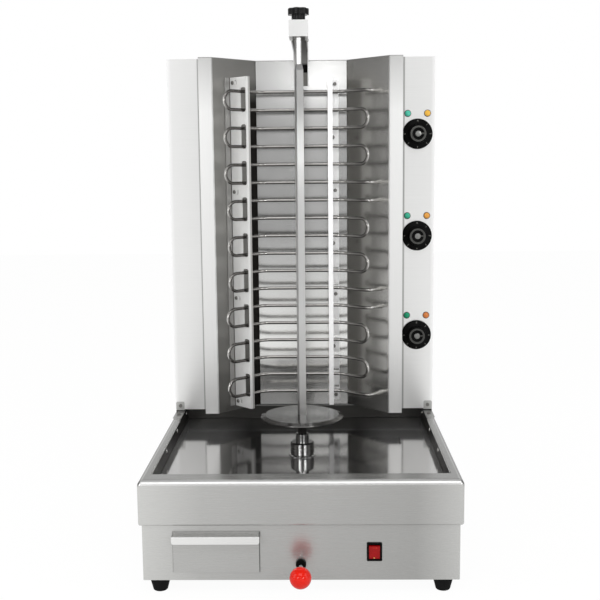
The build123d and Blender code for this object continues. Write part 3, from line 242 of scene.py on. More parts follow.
def support_sheet():
    """Mill finish strips and angles: rolled lengthwise, so they shine softly and evenly.

    On the left support, whose angle stands at 45 degrees, the leg on the panel is painted darker as painted
    shade, the corner where it meets the web is painted dark as a painted shadow, and the lip's far half is
    painted darker as painted shade. The right support is painted white, as painted light, and its outer face
    is painted darker near the panel, as painted shade."""
    material, tree, shader, place = start_material("mill finish stainless strip", 0.5)
    scratches = marks(tree, place, (0.3333, 0.3333, 25.0))
    x = add(tree, "SeparateXYZ", [place], "X")
    y = add(tree, "SeparateXYZ", [place], "Y")
    total = add(tree, "Math", [x, y])
    apart = add(tree, "Math", [x, y], operation="SUBTRACT")
    root2 = math.sqrt(2)
    inward = add(tree, "MapRange", [total, left_web_sum - root2, left_web_sum + root2, -1.0, 1.0])
    outward = add(tree, "MapRange",
                  [apart, left_web_difference - root2, left_web_difference + root2, -1.0, 1.0])
    on_panel = add(tree, "MapRange", [outward, 0.0024, 0.0018])
    on_lip = add(tree, "MapRange", [outward, 0.0465, 0.0475])
    # Painted shade on the leg and the lip's far half, and a painted shadow where the leg meets the web
    leg = band(tree, inward, -0.0200, -0.0016)
    joint_shadow = band(tree, inward, -0.0016, 0.0010)
    far_half = add(tree, "MapRange", [inward, 0.0042, 0.0050])
    left = add(tree, "MapRange", [x, -0.05, -0.06])
    # Painted light: the right support is painted white
    right = add(tree, "MapRange", [x, 0.0, 0.05])
    # Painted shade on the right support's outer face near the panel
    outer_face = overlap(tree, add(tree, "MapRange", [facing(tree, "X"), 0.8, 0.95]), right)
    from_panel = add(tree, "MapRange", [y, back_panel_y - 0.0298, back_panel_y - 0.0306])
    outer_face_shade = layered(tree, "#a8a7a5", (from_panel, "#f0f0ef"))
    sheet = layered(tree, follow(tree, scratches, "#ececeb", "#f4f4f3"),
                    (overlap(tree, on_panel, leg, left), "#9a9997"),
                    (overlap(tree, on_panel, joint_shadow, left), "#2c2a28"),
                    (overlap(tree, on_lip, far_half, left), "#b8b7b5"),
                    (right, "#ffffff"), (outer_face, outer_face_shade))
    set_surface(tree, shader, sheet, follow(tree, scratches, 0.34, 0.40))
    grain_blur(tree, shader, along_z, 0.4)
    return material


def spit_bar_steel():
    """Ground square bar: scratches run its length, its top and its lower part are painted darker as painted
    shade, its top is rougher, and its foot is black.
    """
    material, tree, shader, place = start_material("ground stainless bar", 1.0)
    scratches = marks(tree, place, (1.111, 1.111, 200.0), 4.0, 0.7)
    height = add(tree, "SeparateXYZ", [place], "Z")
    # Painted shade: darker at the top and lower down
    bar = layered(tree, follow(tree, scratches, "#c2c2c1", "#cccccb"),
                  (add(tree, "MapRange", [height, 0.70, 0.80]), "#8e8e8d"),
                  (add(tree, "MapRange", [height, 0.42, 0.26]), "#9c9b9a"),
                  (add(tree, "MapRange", [height, 0.240, 0.236]), "#383736"))
    set_surface(tree, shader, bar, add(tree, "MapRange", [height, 0.70, 0.80, 0.28, 0.42]))
    grain_blur(tree, shader, along_z, 0.6)
    return material


def arm_sheet():
    """Brushed arm, folded from sheet: its channel is unbrushed and painted darker inside as painted shade,
    darkest low on the right, with a paler strip at its very foot.
    """
    material, tree, shader, place = start_material("brushed stainless arm channel", 1.0)
    scratches = marks(tree, place, (1.111, 200.0, 1.111), 4.0, 0.7)
    height = add(tree, "SeparateXYZ", [place], "Z")
    between_walls = add(tree, "MapRange", [side_distance(tree, place), 0.0134, 0.0130])
    not_on_top = add(tree, "MapRange", [facing(tree, "Z"), 0.5, 0.3])
    right = add(tree, "MapRange", [add(tree, "SeparateXYZ", [place], "X"), 0.0, 0.0010])
    low = add(tree, "MapRange", [height, 0.899, 0.894])
    foot = add(tree, "MapRange", [height, 0.8800, 0.8785])
    # Painted shade inside the channel
    channel_shade = layered(tree, "#8c8b89", (low, "#141312"), (foot, "#74736f"))
    inside = layered(tree, "#c8c7c5", (right, channel_shade))
    sheet = layered(tree, follow(tree, scratches, "#dcdcdb", "#e4e4e3"),
                    (overlap(tree, between_walls, not_on_top), inside))
    set_surface(tree, shader, sheet, follow(tree, scratches, 0.30, 0.34))
    grain_blur(tree, shader, along_y, 0.6)
    return material


def back_sheet():
    """Polished back panel: clear reflections that waver over 111 mm wipe marks; its top and, most of all, its
    foot are painted paler as painted light.
    """
    material, tree, shader, place = start_material("polished stainless back panel", 1.0)
    wipes = marks(tree, place, (111.1, 111.1, 71.43))
    height = add(tree, "SeparateXYZ", [place], "Z")
    # Painted light: paler at the top and at the foot
    sheet = layered(tree, follow(tree, wipes, "#acacab", "#b4b4b3"),
                    (add(tree, "MapRange", [height, 0.80, 0.86]), "#cacac9"),
                    (add(tree, "MapRange", [height, 0.56, 0.32]), "#fafaf8"))
    set_surface(tree, shader, sheet, follow(tree, wipes, 0.15, 0.19), wipes, 0.00005)
    return material


def lamp_lens(name, upper, lower):
    """Moulded clear lens over a lamp: smooth and glossy, and deeper in colour on the lower lamps."""
    material, tree, shader, place = start_material(name)
    high = add(tree, "MapRange", [add(tree, "SeparateXYZ", [place], "Z"), 0.42, 0.80])
    tree.links.new(layered(tree, lower, (high, upper)), shader.inputs["Base Color"])
    shader.inputs["Roughness"].default_value = 0.15
    shader.inputs["Specular IOR Level"].default_value = 0.3
    return material


def base_sheet():
    """Brushed base sheet: scratches 83 mm long; the front bend is painted paler, a painted highlight.

    The front is painted in painted light and shade: it is darkest right of the middle and paler towards both
    ends. The rim on top is painted darker as painted shade, and the bends along the sides are painted dark as
    painted shade."""
    material, tree, shader, place = start_material("brushed stainless base", 0.75)
    scratches = marks(tree, place, (83.33, 0.25, 0.25))
    x = add(tree, "SeparateXYZ", [place], "X")
    upward = facing(tree, "Z")
    # Painted light and shade across the front, and painted shade on the rim's top
    sheet = layered(tree, follow(tree, scratches, "#b8b8b6", "#bcbcba"),
                    (add(tree, "MapRange", [x, 0.03, 0.18]), "#a8a8a6"),
                    (add(tree, "MapRange", [x, 0.19, 0.26]), "#c0c0be"),
                    (add(tree, "MapRange", [x, -0.16, -0.26]), "#ccccca"),
                    (add(tree, "MapRange", [upward, 0.95, 0.995]), "#9a9a98"))
    # Painted highlight on the front bend, painted shade on the side bends
    rising = add(tree, "MapRange", [upward, 0.1, 0.5])
    falling = add(tree, "MapRange", [upward, 0.985, 0.88])
    bend = overlap(tree, rising, falling)
    sideways = add(tree, "Math", [facing(tree, "X")], operation="ABSOLUTE")
    bend_highlight_and_shade = layered(tree, "#e8e8e7", (add(tree, "MapRange", [sideways, 0.15, 0.35]), "#6e6e6c"))
    set_surface(tree, shader, layered(tree, sheet, (bend, bend_highlight_and_shade)), follow(tree, scratches, 0.24, 0.28))
    grain_blur(tree, shader, along_x, 0.3)
    return material


def drawer_sheet():
    """Brushed front of the drawer: the folded strip before it is painted paler, a painted highlight, and its
    side edges are painted dark, a painted shadow of the gaps.
    """
    material, tree, shader, place = start_material("brushed stainless drawer front", 0.75)
    scratches = marks(tree, place, (83.33, 0.25, 0.25))
    x = add(tree, "SeparateXYZ", [place], "X")
    depth = add(tree, "SeparateXYZ", [place], "Y")
    behind_strip = add(tree, "MapRange", [depth, apron_y - 0.008, apron_y - 0.0078])
    # Painted shadow along the side edges
    right_gap_shadow = add(tree, "MapRange", [x, drawer_right_x - 0.0014, drawer_right_x - 0.0008])
    left_gap_shadow = add(tree, "MapRange", [x, drawer_left_x + 0.0012, drawer_left_x + 0.0006])
    plain = layered(tree, follow(tree, scratches, "#b8b8b6", "#bcbcba"),
                    (right_gap_shadow, "#3c3c3a"), (left_gap_shadow, "#9a9a98"))
    # Painted highlight on the folded strip
    front = layered(tree, "#ececeb", (behind_strip, plain))
    set_surface(tree, shader, front, follow(tree, scratches, 0.24, 0.28))
    grain_blur(tree, shader, along_x, 0.3)
    return material


def heater_sheath():
    """Annealed stainless tube: grey oxide, mottled every 17 mm, and painted darker below, as painted shade.

    The bends at the sides are painted in a tone of their own, with a painted highlight on the outside and
    painted shade on the inside."""
    material, tree, shader, place = start_material("annealed heater sheath", 1.0)
    mottle = marks(tree, place, (16.67, 16.67, 5.0))
    # Painted shade: the underside is darker than the top
    topside = add(tree, "MapRange", [facing(tree, "Z"), -0.7, 0.1])
    bent = add(tree, "MapRange", [side_distance(tree, place), 0.080, 0.120])
    side = add(tree, "MapRange", [add(tree, "SeparateXYZ", [place], "X"), -0.001, 0.001, -1.0, 1.0])
    outward = add(tree, "Math", [facing(tree, "X"), side], operation="MULTIPLY")
    # Painted shade inside the bends and a painted highlight outside them
    inner = overlap(tree, bent, add(tree, "MapRange", [outward, 0.1, -0.5]))
    outer = overlap(tree, bent, add(tree, "MapRange", [outward, 0.35, 0.75]))
    oxide = follow(tree, mottle, "#acaaa7", "#b8b6b3")
    sheath = layered(tree, "#6a6865", (topside, oxide), (bent, "#a19f9c"),
                     (inner, "#5c5a58"), (outer, "#e6e5e3"))
    set_surface(tree, shader, sheath, follow(tree, mottle, 0.18, 0.24))
    return material


def tray_sheet():
    """Polished pan: its floor mirrors what stands over it, and its walls are rougher, since they are wiped
    less, and painted darker, as painted shade.

    The floor is darker in the middle and painted paler towards the sides, a painted reflection, and 83 mm
    wipe marks, 60 microns deep, make the mirror waver."""
    material, tree, shader, place = start_material("polished stainless tray", 0.88)
    shader.inputs["Specular Tint"].default_value = (0.72, 0.72, 0.72, 1.0)
    wipes = marks(tree, place, (83.33, 83.33, 83.33))
    # Painted reflection: the floor is paler towards the sides
    aside = add(tree, "MapRange", [side_distance(tree, place), 0.11, 0.16])
    floor = layered(tree, follow(tree, wipes, "#6a6968", "#727170"), (aside, "#d2d1d0"))
    level = add(tree, "MapRange", [facing(tree, "Z"), 0.96, 0.995])
    # Painted shade: the walls are darker than the floor
    set_surface(tree, shader, layered(tree, "#484745", (level, floor)),
                add(tree, "MapRange", [level, 0.0, 1.0, 0.45, 0.1]), wipes, 0.00006)
    return material


def disc_sheet():
    """Polished disc: dark on its flat, and painted paler on the rim, which slopes away: a painted reflection.
    """
    material, tree, shader, place = start_material("polished stainless disc", 0.92)
    shader.inputs["Specular Tint"].default_value = (0.75, 0.75, 0.75, 1.0)
    wipes = marks(tree, place, (111.1, 111.1, 71.43))
    level_place = add(tree, "VectorMath", [place, (1.0, 1.0, 0.0)], operation="MULTIPLY")
    reach = add(tree, "VectorMath", [level_place, (0.0, spit_y, 0.0)], "Value", operation="DISTANCE")
    # Painted reflection: the rim is paler
    rim = add(tree, "MapRange", [reach, 0.0668, 0.0676])
    disc = layered(tree, follow(tree, wipes, "#5e5e5d", "#666665"), (rim, "#7c7b7a"))
    set_surface(tree, shader, disc, follow(tree, wipes, 0.11, 0.15))
    return material


def boss_steel():
    """Turned and polished boss: rings 0.6 mm apart, two upright bands painted white as painted highlights,
    and top faces painted dark as painted shade.
    """
    material, tree, shader, place = start_material("turned stainless", 1.0)
    rings = marks(tree, place, (11.11, 11.11, 0.5556), 2.0)
    sideways = facing(tree, "X")
    # Painted highlights: two upright white bands
    left_highlight = band(tree, sideways, -0.33, -0.05, 0.02)
    right_highlight = band(tree, sideways, 0.13, 0.40, 0.02)
    # Painted shade on the top faces
    top = add(tree, "MapRange", [facing(tree, "Z"), 0.3, 0.6])
    steel = layered(tree, follow(tree, rings, "#7a7977", "#848381"),
                    (left_highlight, "#ffffff"), (right_highlight, "#ffffff"), (top, "#3c3b3a"))
    set_surface(tree, shader, steel, follow(tree, rings, 0.22, 0.28))
    return material


def guard_steel():
    """Guard turned about the spit's axis: fine rings draw reflections out upwards."""
    material, tree, shader, place = start_material("bright turned stainless", 1.0)
    rings = marks(tree, place, (11.11, 11.11, 0.5556), 2.0)
    set_surface(tree, shader, follow(tree, rings, "#c0c0bf", "#cacac9"), follow(tree, rings, 0.22, 0.28))
    arm = add(tree, "VectorMath", [place, (0.0, spit_y, 0.0)], operation="SUBTRACT")
    round_way = add(tree, "VectorMath", [(0.0, 0.0, 1.0), arm], operation="CROSS_PRODUCT")
    grain_blur(tree, shader, round_way, 0.6)
    return material


def bracket_sheet():
    """Bent corner brackets: satin plate, with a painted shadow in the fold between the two legs."""
    material, tree, shader, place = start_material("satin bracket plate", 1.0)
    scratches = marks(tree, place, (83.33, 0.25, 0.25))
    # Painted shadow in the fold
    fold = band(tree, add(tree, "SeparateXYZ", [place], "Z"), 0.1938, 0.1966)
    set_surface(tree, shader, layered(tree, follow(tree, scratches, "#b4b4b2", "#bcbcba"), (fold, "#2c2a28")),
                follow(tree, scratches, 0.30, 0.36))
    grain_blur(tree, shader, along_x, 0.3)
    return material


# The finishes themselves

# Type 304 sheet brushed along the arm: satin, with reflections drawn out across it
arm_steel = brushed_sheet("brushed stainless arm", "#e6e6e5", "#eeeeed",
                          (1.111, 200.0, 1.111), along_y, 0.32, 0.8)
# Type 304 sheet straight from the mill, rolled upwards: a soft even shine
pan_steel = brushed_sheet("mill finish stainless pan", "#e6e6e5", "#eeeeed",
                          (1.111, 1.111, 83.33), along_z, 0.3, 0.5)
# Two panels of the same polished sheet: the left one is rougher and painted darker and browner, as painted
# shade; its low end and inner edge are painted darker still, as painted shade, and the right one's low end is
# painted paler, as painted light
left_panel_steel = reflector_sheet("wiped stainless reflector", 0.42,
                                   "#8f8e8b", "#979693", "#757471", "#2c2a28")
right_panel_steel = reflector_sheet("polished stainless reflector", 0.2,
                                    "#b0afac", "#b8b7b4", "#c4c3c0", "#b4b3b0")
# Hot dipped zinc on mild steel: a matt grey with spangles 33 mm wide
inner_steel = plain_metal("galvanised sheet", "#9a9c9d", "#acaeaf", 0.45, 33.33)
# Centreless ground pin: bright and even
pin_steel = plain_metal("bright ground pin", "#f0f0ef", "#f8f8f7", 0.3)
# Ground and hardened bearing steel: nearly a mirror, slightly blue
ground_steel = plain_metal("ground bearing steel", "#b4b4b6", "#c4c4c6", 0.12)
# Nickel plated in a barrel: bright and slightly warm
plated_metal = plain_metal("bright nickel plating", "#c2c1be", "#d0cfcc", 0.22)
# Zinc plated screws, dulled by heat: a dark soft grey
screw_metal = plain_metal("dull zinc plating", "#7c7b78", "#8a8986", 0.4)
# Chromed brass bezel, darkened by heat
bezel_metal = plain_metal("dark chromed bezel", "#6a6866", "#747270", 0.25)
# Pressed and sintered bronze: matt brown
bronze = plain_metal("sintered bronze", "#8a6a3c", "#9c7c4c", 0.4)
# Die cast aluminium: matt grey skin with a relief of 0.1 mm
cast_aluminium = plain_metal("cast aluminium", "#8d9092", "#a0a3a5", 0.5, 3.333, 0.0001)
# Spun aluminium, darkened, and a turned button that is left paler
cap_metal = plain_metal("grey spun aluminium cap", "#4c4c4a", "#545452", 0.34)
button_metal = plain_metal("turned aluminium button", "#7c7c7a", "#868684", 0.3)
# Sprayed enamel: black with a soft shine
motor_paint = plastic("black motor paint", "#1a1a1c", "#222225", 0.35)
# Moulded rubber: matt, with a 1.4 mm grain 30 microns deep
rubber = plastic("black rubber", "#0e0e0e", "#141414", 0.75, 1.429, 0.00003, 0.1)
# Phenolic pressed in a blasted mould: black with little gloss, and glossier on the star knob
black_plastic = plastic("black phenolic", "#070707", "#0b0b0b", 0.4, 1.111, 0.000003, 0.06)
knob_plastic = plastic("black phenolic star knob", "#0a0a0a", "#0f0f0e", 0.2, 1.111, 0.000002, 0.2)
# Phenolic ball from a polished mould: sharp reflections on deep red
red_ball_plastic = plastic("red gloss phenolic", "#d81604", "#de1e0a", 0.04, 1.111, 0.0000001, 0.3)
# Moulded polycarbonate, coloured through: deep red with a soft shine
red_rocker_plastic = plastic("red moulded polycarbonate", "#960004", "#9e0204", 0.35, 1.111, 0.000003, 0.25)
# Pressed and fired steatite: a warm white, half matt
ceramic = plastic("steatite ceramic", "#d8d4ca", "#e4e0d6", 0.5)
# Woven glass sleeve with varnish: matt black brown, threads 0.7 mm wide
sleeving = plastic("woven glass sleeving", "#2b2a28", "#3a3936", 0.7, 0.6667, 0.00006)
# Pad print in warm grey, worn thin, and the rocker's two lighter prints
numeral_paint = plastic("grey pad print", "#74736f", "#85847f", 0.6)
mark_red = plastic("light red pad print", "#d8301c", "#e23a24", 0.4)
window_amber = plastic("pale lamp window", "#d49456", "#e0a468", 0.2)
green_lens = lamp_lens("green lamp lens", "#50ccb0", "#16986e")
amber_lens = lamp_lens("amber lamp lens", "#efb948", "#cf7a3e")

finishes = (
    (casing_sheet(), ("left_casing", "right_casing", "tower_top_cover", "rear_cover")),
    (base_sheet(), ("lower_housing", "top_frame")),
    (bracket_sheet(), ("corner_brackets",)),
    (drawer_sheet(), ("drawer_front",)),
    (arm_sheet(), ("top_arm",)),
    (arm_steel, ("arm_sleeve",)),
    (left_panel_steel, ("left_reflector",)),
    (right_panel_steel, ("right_reflector",)),
    (back_sheet(), ("back_reflector",)),
    (tray_sheet(), ("drip_tray",)),
    (disc_sheet(), ("meat_disc",)),
    (pan_steel, ("drawer_pan", "drain_spout")),
    (support_sheet(), ("left_support_strip", "right_support_strip", "support_angles")),
    (inner_steel, ("base_floor", "drawer_runners", "rail_brackets", "carriage_plate", "tower_floor")),
    (boss_steel(), ("drive_boss",)),
    (guard_steel(), ("shaft_guard",)),
    (pin_steel, ("lock_pin",)),
    (spit_bar_steel(), ("spit_bar",)),
    (ground_steel, ("guide_rails", "output_shaft", "shaft_bearing", "push_rod")),
    (heater_sheath(), ("heating_element_upper", "heating_element_middle", "heating_element_lower")),
    (screw_metal, ("screws_and_nuts",)),
    (plated_metal, ("tray_rivets", "element_ferrules")),
    (bezel_metal, ("lamp_bodies",)),
    (bronze, ("slide_bearings",)),
    (cast_aluminium, ("gearbox",)),
    (motor_paint, ("drive_motor",)),
    (rubber, ("rubber_feet",)),
    (black_plastic, ("dial_upper", "dial_middle", "dial_lower", "switch_body", "cable_gland", "rod_bushing")),
    (knob_plastic, ("star_knob",)),
    (red_ball_plastic, ("red_ball",)),
    (red_rocker_plastic, ("switch_rocker",)),
    (green_lens, ("green_lenses",)),
    (amber_lens, ("amber_lenses",)),
    (ceramic, ("thermostat_upper", "thermostat_middle", "thermostat_lower", "terminal_block")),
    (sleeving, ("wiring_loom",)),
)
for finish, painted in finishes:
    for painted_name in painted:
        target = nodes[painted_name]
        if not target.material_slots:
            target.data.materials.append(finish)
        for material_slot in target.material_slots:
            material_slot.material = finish


# Fine pieces, each a surface over a grid of points

def grid_piece(name, points, material, body):
    """Skin over points[row, column]: columns go round and join up, and doubled points close the poles."""
    rows, columns = points.shape[:2]
    index = np.arange(rows * columns).reshape(rows, columns)
    after = np.roll(index, -1, axis=1)
    faces = np.stack([index[:-1], after[:-1], after[1:], index[1:]], axis=-1).reshape(-1, 4)
    finish_piece(name, points.reshape(-1, 3), faces, material, body)


def finish_piece(name, points, faces, material, body):
    """Merges doubled points, turns faces outwards, smooths all but sharp edges and sets it on its body."""
    mesh = bpy.data.meshes.new(name)
    mesh.from_pydata(points.tolist(), [], [list(map(int, face)) for face in faces])
    work = bmesh.new()
    work.from_mesh(mesh)
    bmesh.ops.remove_doubles(work, verts=work.verts, dist=1e-6)
    bmesh.ops.dissolve_degenerate(work, edges=work.edges, dist=1e-7)
    bmesh.ops.recalc_face_normals(work, faces=work.faces)
    work.to_mesh(mesh)
    work.free()
    mesh.polygons.foreach_set("use_smooth", np.ones(len(mesh.polygons), dtype=bool))
    mesh.set_sharp_from_angle(angle=math.radians(35))
    mesh.materials.append(material)
    piece = bpy.data.objects.new(name, mesh)
    bpy.context.collection.objects.link(piece)
    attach(piece, body)


def turned_points(profile, centre, out, count=64):
    """point = centre + radius (cos a e1 + sin a e2) + height out, for each (radius, height) and angle a."""
    out = np.array(out, float)
    e1 = np.cross(out, (0.0, 0.0, 1.0))
    e1 = e1 / np.linalg.norm(e1)
    e2 = np.cross(out, e1)
    radius, height = np.array(profile, float).T
    angle = np.linspace(0.0, 2 * np.pi, count, endpoint=False)
    ring = np.cos(angle)[:, None] * e1 + np.sin(angle)[:, None] * e2
    return np.array(centre) + radius[:, None, None] * ring + height[:, None, None] * out


def pad_points(centre, e1, e2, out, half_a, half_b, rise, sunk, corner=4.0, count=40):
    """Low pad: its outline is |x/a|^n + |y/b|^n = 1, and its top rises in a quarter wave to the middle."""
    angle = np.linspace(0.0, 2 * np.pi, count, endpoint=False)
    cosine, sine = np.cos(angle), np.sin(angle)
    x = half_a * np.sign(cosine) * np.abs(cosine) ** (2 / corner)
    y = half_b * np.sign(sine) * np.abs(sine) ** (2 / corner)
    outline = x[:, None] * np.array(e1) + y[:, None] * np.array(e2)
    share = np.array([0.0, 1.0, 1.0, 0.96, 0.86, 0.7, 0.4, 0.0])
    height = np.array([-sunk, -sunk, 0.0, 0.55, 0.85, 0.95, 1.0, 1.0])
    height[2:] *= rise
    return np.array(centre) + share[:, None, None] * outline + height[:, None, None] * np.array(out)


def numeral_mesh(text, tall, thick):
    """Points and faces of one numeral drawn flat about the origin, u to the right and v upwards."""
    curve = bpy.data.curves.new("numeral", "FONT")
    curve.body = text
    curve.size = tall / 0.7
    curve.extrude = thick / 2
    curve.resolution_u = 4
    curve.align_x = "CENTER"
    holder = bpy.data.objects.new("numeral", curve)
    mesh = bpy.data.meshes.new_from_object(holder)
    points = np.empty(len(mesh.vertices) * 3)
    mesh.vertices.foreach_get("co", points)
    points = points.reshape(-1, 3)
    points[:, :2] -= (points[:, :2].min(axis=0) + points[:, :2].max(axis=0)) / 2
    faces = [list(face.vertices) for face in mesh.polygons]
    bpy.data.objects.remove(holder)
    bpy.data.meshes.remove(mesh)
    bpy.data.curves.remove(curve)
    return points, faces


def skirt_numerals(name, height, body):
    """Numerals 0 to 6, 45 degrees apart, laid on the dial's conical skirt.

    u becomes an angle, v a radius, and the depth follows the cone, from which they stand 40 microns proud."""
    numeral_radius, edge_radius = 0.0256, 0.02935
    cone_fall, cone_run, proud = 0.0035, 0.00785, 0.00004
    all_points, all_faces, used = [], [], 0
    for step in range(7):
        points, faces = numeral_mesh(str(step), 0.0036, 0.0002)
        radius = numeral_radius + points[:, 1]
        angle = math.radians(45.0 * step) + points[:, 0] / numeral_radius
        cone = dial_skirt_y - cone_fall * (edge_radius - radius) / cone_run
        placed = np.stack([dial_x + radius * np.sin(angle), cone - proud - points[:, 2],
                           height + radius * np.cos(angle)], axis=-1)
        all_points.append(placed)
        all_faces += [[used + v for v in face] for face in faces]
        used += len(points)
    finish_piece(name, np.concatenate(all_points), all_faces, numeral_paint, body)


def dial_caps():
    """Grey cap of each dial: an outer ring, a raised centre and the pointer bar that joins them."""
    ring = [(0.0158, -0.0004), (0.0158, 0.0), (0.0155, 0.0003), (0.0124, 0.0003), (0.0120, 0.0),
            (0.0118, -0.0009), (0.0118, -0.0014), (0.0150, -0.0008), (0.0158, -0.0004)]
    button = [(0.0, -0.0038), (0.0050, -0.0028), (0.0058, -0.0024), (0.0058, -0.0006), (0.0054, -0.0002),
              (0.0040, 0.0), (0.0, 0.0002)]
    for level, height in dial_heights.items():
        body = level + "_dial"
        centre = (dial_x, dial_face_y, height)
        grid_piece("dial_ring_" + level, turned_points(ring, centre, forward), cap_metal, body)
        grid_piece("dial_button_" + level, turned_points(button, centre, forward, 40), button_metal, body)
        tip = (dial_x + 0.0088, dial_face_y + 0.0010, height + 0.0004)
        bar = pad_points(tip, (1, 0, 0), (0, 0, 1), forward, 0.0031, 0.0016, 0.0008, 0.0004)
        grid_piece("dial_pointer_" + level, bar, cap_metal, body)
        skirt_numerals("dial_numerals_" + level, height, body)


def dial_skirts():
    """Smooth outer ring of each dial's skirt: a cone that falls from the grip to a rounded edge."""
    profile = [(0.0205, -0.0032), (0.0205, 0.0033), (0.0213, 0.0031), (0.0292, 0.0001), (0.02965, -0.0002),
               (0.02975, -0.0008), (0.02975, -0.0022), (0.0292, -0.0028), (0.0205, -0.0032)]
    for level, height in dial_heights.items():
        skirt = turned_points(profile, (dial_x, dial_skirt_y, height), forward, 128)
        grid_piece("dial_skirt_" + level, skirt, black_plastic, level + "_dial")


def lamp_domes():
    """Clear dome of each lamp: a flat cap, 11.6 mm across, that rolls over to its rim."""
    profile = [(0.0, 0.0046), (0.0022, 0.0045), (0.0040, 0.0040), (0.0052, 0.0031), (0.0058, 0.0020),
               (0.0058, 0.0012), (0.0, 0.0012)]
    lamp_aside, lamp_above, lamp_behind = 0.0195, 0.040, 0.0036
    for side, slot, material in ((-1, "green_lens", green_lens), (1, "amber_lens", amber_lens)):
        for level, height in dial_heights.items():
            centre = (dial_x + side * lamp_aside, dial_skirt_y + lamp_behind, height + lamp_above)
            grid_piece(slot[:5] + "_dome_" + level, turned_points(profile, centre, forward, 48), material,
                       "root")


def rocker_marks():
    """Three small raised marks on the rocker's upper half and its lamp's pale window on the lower half."""
    lean = math.radians(16.0)
    up = np.array((0.0, -math.sin(lean), math.cos(lean)))
    out = np.array((0.0, -math.cos(lean), -math.sin(lean)))
    face_y = apron_y + 0.004256
    fold = np.array((0.120, face_y, 0.069493))
    for number, (x, half) in enumerate(((-0.0020, 0.0006), (0.0003, 0.0006), (0.0030, 0.0012))):
        place = fold + 0.0082 * up + np.array((x, 0.0, 0.0))
        mark = pad_points(place, (1, 0, 0), up, out, half, 0.0007, 0.00025, 0.0002, 3.0)
        grid_piece("rocker_mark_%d" % number, mark, mark_red, "rocker")
    window = pad_points((0.1196, face_y, 0.0594), (1, 0, 0), (0, 0, 1), forward,
                        0.0013, 0.0012, 0.0005, 0.0003, 2.0)
    grid_piece("rocker_window", window, window_amber, "rocker")


def arm_side_screw():
    """Button head screw on the arm's right wall: turned head with a round drive recess."""
    head = [(0.0, -0.0004), (0.0033, -0.0004), (0.0033, 0.0004), (0.0030, 0.0012), (0.0022, 0.0018),
            (0.0014, 0.0019), (0.0013, 0.0010), (0.0, 0.0010)]
    grid_piece("arm_side_screw", turned_points(head, (0.0149, apron_y + 0.335, 0.924), (1, 0, 0), 32),
               plated_metal, "root")


dial_caps()
dial_skirts()
lamp_domes()
rocker_marks()
arm_side_screw()


# Floor, light and camera

def ray_share(tree, camera_share, mirror_share):
    """How much of a white backdrop a ray sees: camera rays, and reflected or transmitted ones."""
    mirrored = add(tree, "Math", [add(tree, "LightPath", output="Is Glossy Ray"),
                                  add(tree, "LightPath", output="Is Transmission Ray")], operation="MAXIMUM")
    seen = overlap(tree, add(tree, "LightPath", output="Is Camera Ray"), camera_share)
    return add(tree, "Math", [overlap(tree, mirrored, mirror_share), seen], operation="MAXIMUM")


def studio_floor():
    """Plain pale floor, white where the camera sees it, greyer in reflections, and it keeps a soft shadow."""
    size = 6.0
    mesh = bpy.data.meshes.new("studio_floor")
    corners = [(-size, -size, 0), (size, -size, 0), (size, size, 0), (-size, size, 0)]
    mesh.from_pydata(corners, [], [(0, 1, 2, 3)])
    floor = bpy.data.objects.new("studio_floor", mesh)
    bpy.context.collection.objects.link(floor)
    material, tree, shader, place = start_material("pale floor")
    shader.inputs["Base Color"].default_value = linear("#e4e4e2")
    shader.inputs["Roughness"].default_value = 0.9
    aside = add(tree, "MapRange", [side_distance(tree, place), 0.05, 0.32])
    swept = layered(tree, "#dadada", (aside, "#ffffff"))
    seen = layered(tree, swept, (add(tree, "LightPath", output="Is Camera Ray"), "#ffffff"))
    white = add(tree, "Emission", [seen, 1.02])
    mixed = add(tree, "MixShader", [ray_share(tree, 0.93, 0.8), shader.outputs[0], white])
    tree.links.new(mixed, tree.nodes["Material Output"].inputs["Surface"])
    mesh.materials.append(material)


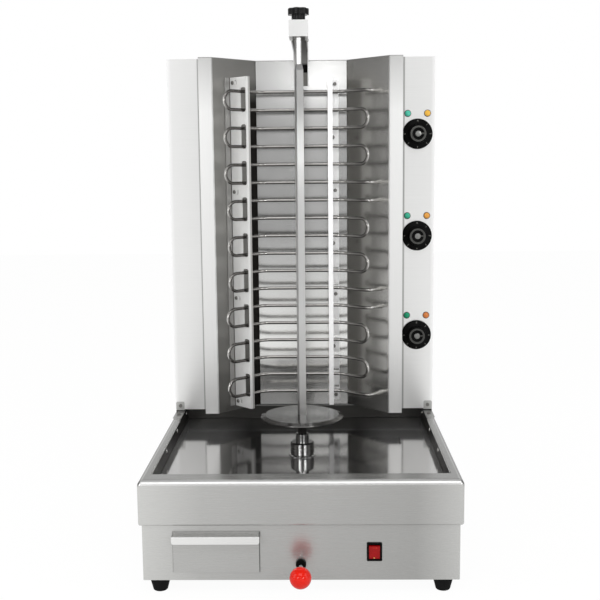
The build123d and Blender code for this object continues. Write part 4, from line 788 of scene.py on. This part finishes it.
def studio_world():
    """White to the camera; reflections see a studio, white behind and in front, grey beside and above."""
    world = bpy.data.worlds.new("studio")
    bpy.context.scene.world = world
    world.use_nodes = True
    tree = world.node_tree
    direction = add(tree, "TexCoord", output="Generated")
    sideways = side_distance(tree, direction)
    middle = add(tree, "MapRange", [sideways, 0.03, 0.16])
    behind = add(tree, "MapRange", [add(tree, "SeparateXYZ", [direction], "Y"), -0.2, 0.2])
    sides = add(tree, "MapRange", [sideways, 0.45, 0.9])
    ceiling = add(tree, "MapRange", [add(tree, "SeparateXYZ", [direction], "Z"), 0.3, 0.75])
    room = layered(tree, "#cfcfcf", (middle, "#f0f0f0"), (behind, "#f4f4f4"),
                   (sides, "#a6a6a6"), (ceiling, "#989898"))
    mirrored = layered(tree, room, (add(tree, "LightPath", output="Is Diffuse Ray"), "#dcdcdc"))
    white = layered(tree, mirrored, (ray_share(tree, 1.0, 0.0), "#ffffff"))
    tree.links.new(white, tree.nodes["Background"].inputs["Color"])
    tree.nodes["Background"].inputs["Strength"].default_value = 1.0


def soft_box(name, place, target, width, height, radiance):
    """Rectangular lamp: its watts are radiance x pi x area."""
    lamp = bpy.data.lights.new(name, "AREA")
    lamp.shape = "RECTANGLE"
    lamp.size = width
    lamp.size_y = height
    lamp.energy = radiance * math.pi * width * height
    holder = bpy.data.objects.new(name, lamp)
    bpy.context.collection.objects.link(holder)
    holder.visible_camera = False
    holder.location = place
    holder.rotation_euler = (Vector(target) - Vector(place)).to_track_quat("-Z", "Y").to_euler()


def photo_camera():
    """Camera at the photograph's place and lens, worked out from the object's own edges."""
    lens = bpy.data.cameras.new("photo_camera")
    lens.lens = 59.47
    lens.sensor_width = 36.0
    holder = bpy.data.objects.new("photo_camera", lens)
    bpy.context.collection.objects.link(holder)
    ahead = Vector((-0.018084, 0.990499, -0.136324))
    up = Vector((0.007057, 0.136469, 0.990619))
    right = ahead.cross(up)
    turn = Matrix((right, up, -ahead)).transposed().to_4x4()
    holder.matrix_world = Matrix.Translation(Vector((0.03069, -1.54257 + apron_y, 0.69831))) @ turn
    bpy.context.scene.camera = holder


studio_floor()
studio_world()
soft_box("front_box", (0.0, -2.3, 3.3), (0.0, 0.0, 0.4), 2.4, 1.6, 1.9)
soft_box("left_box", (-2.3, -0.9, 1.3), (0.0, 0.0, 0.5), 1.2, 2.0, 1.4)
soft_box("right_box", (2.3, -0.9, 1.3), (0.0, 0.0, 0.5), 1.2, 2.0, 1.4)
soft_box("left_lamp", (-1.15, -2.3, 1.04), (0.0, 0.0, 0.2), 0.36, 0.36, 18.0)
soft_box("right_lamp", (1.15, -2.3, 1.04), (0.0, 0.0, 0.2), 0.36, 0.36, 18.0)
soft_box("back_card", (0.05, -2.9, 1.12), (0.05, 0.2, 0.8), 0.36, 0.22, 2.0)
soft_box("narrow_card", (0.035, -1.95, 0.75), (0.035, 0.0, 0.4), 0.04, 1.2, 1.5)
photo_camera()

bpy.context.scene.view_settings.view_transform = "Standard"
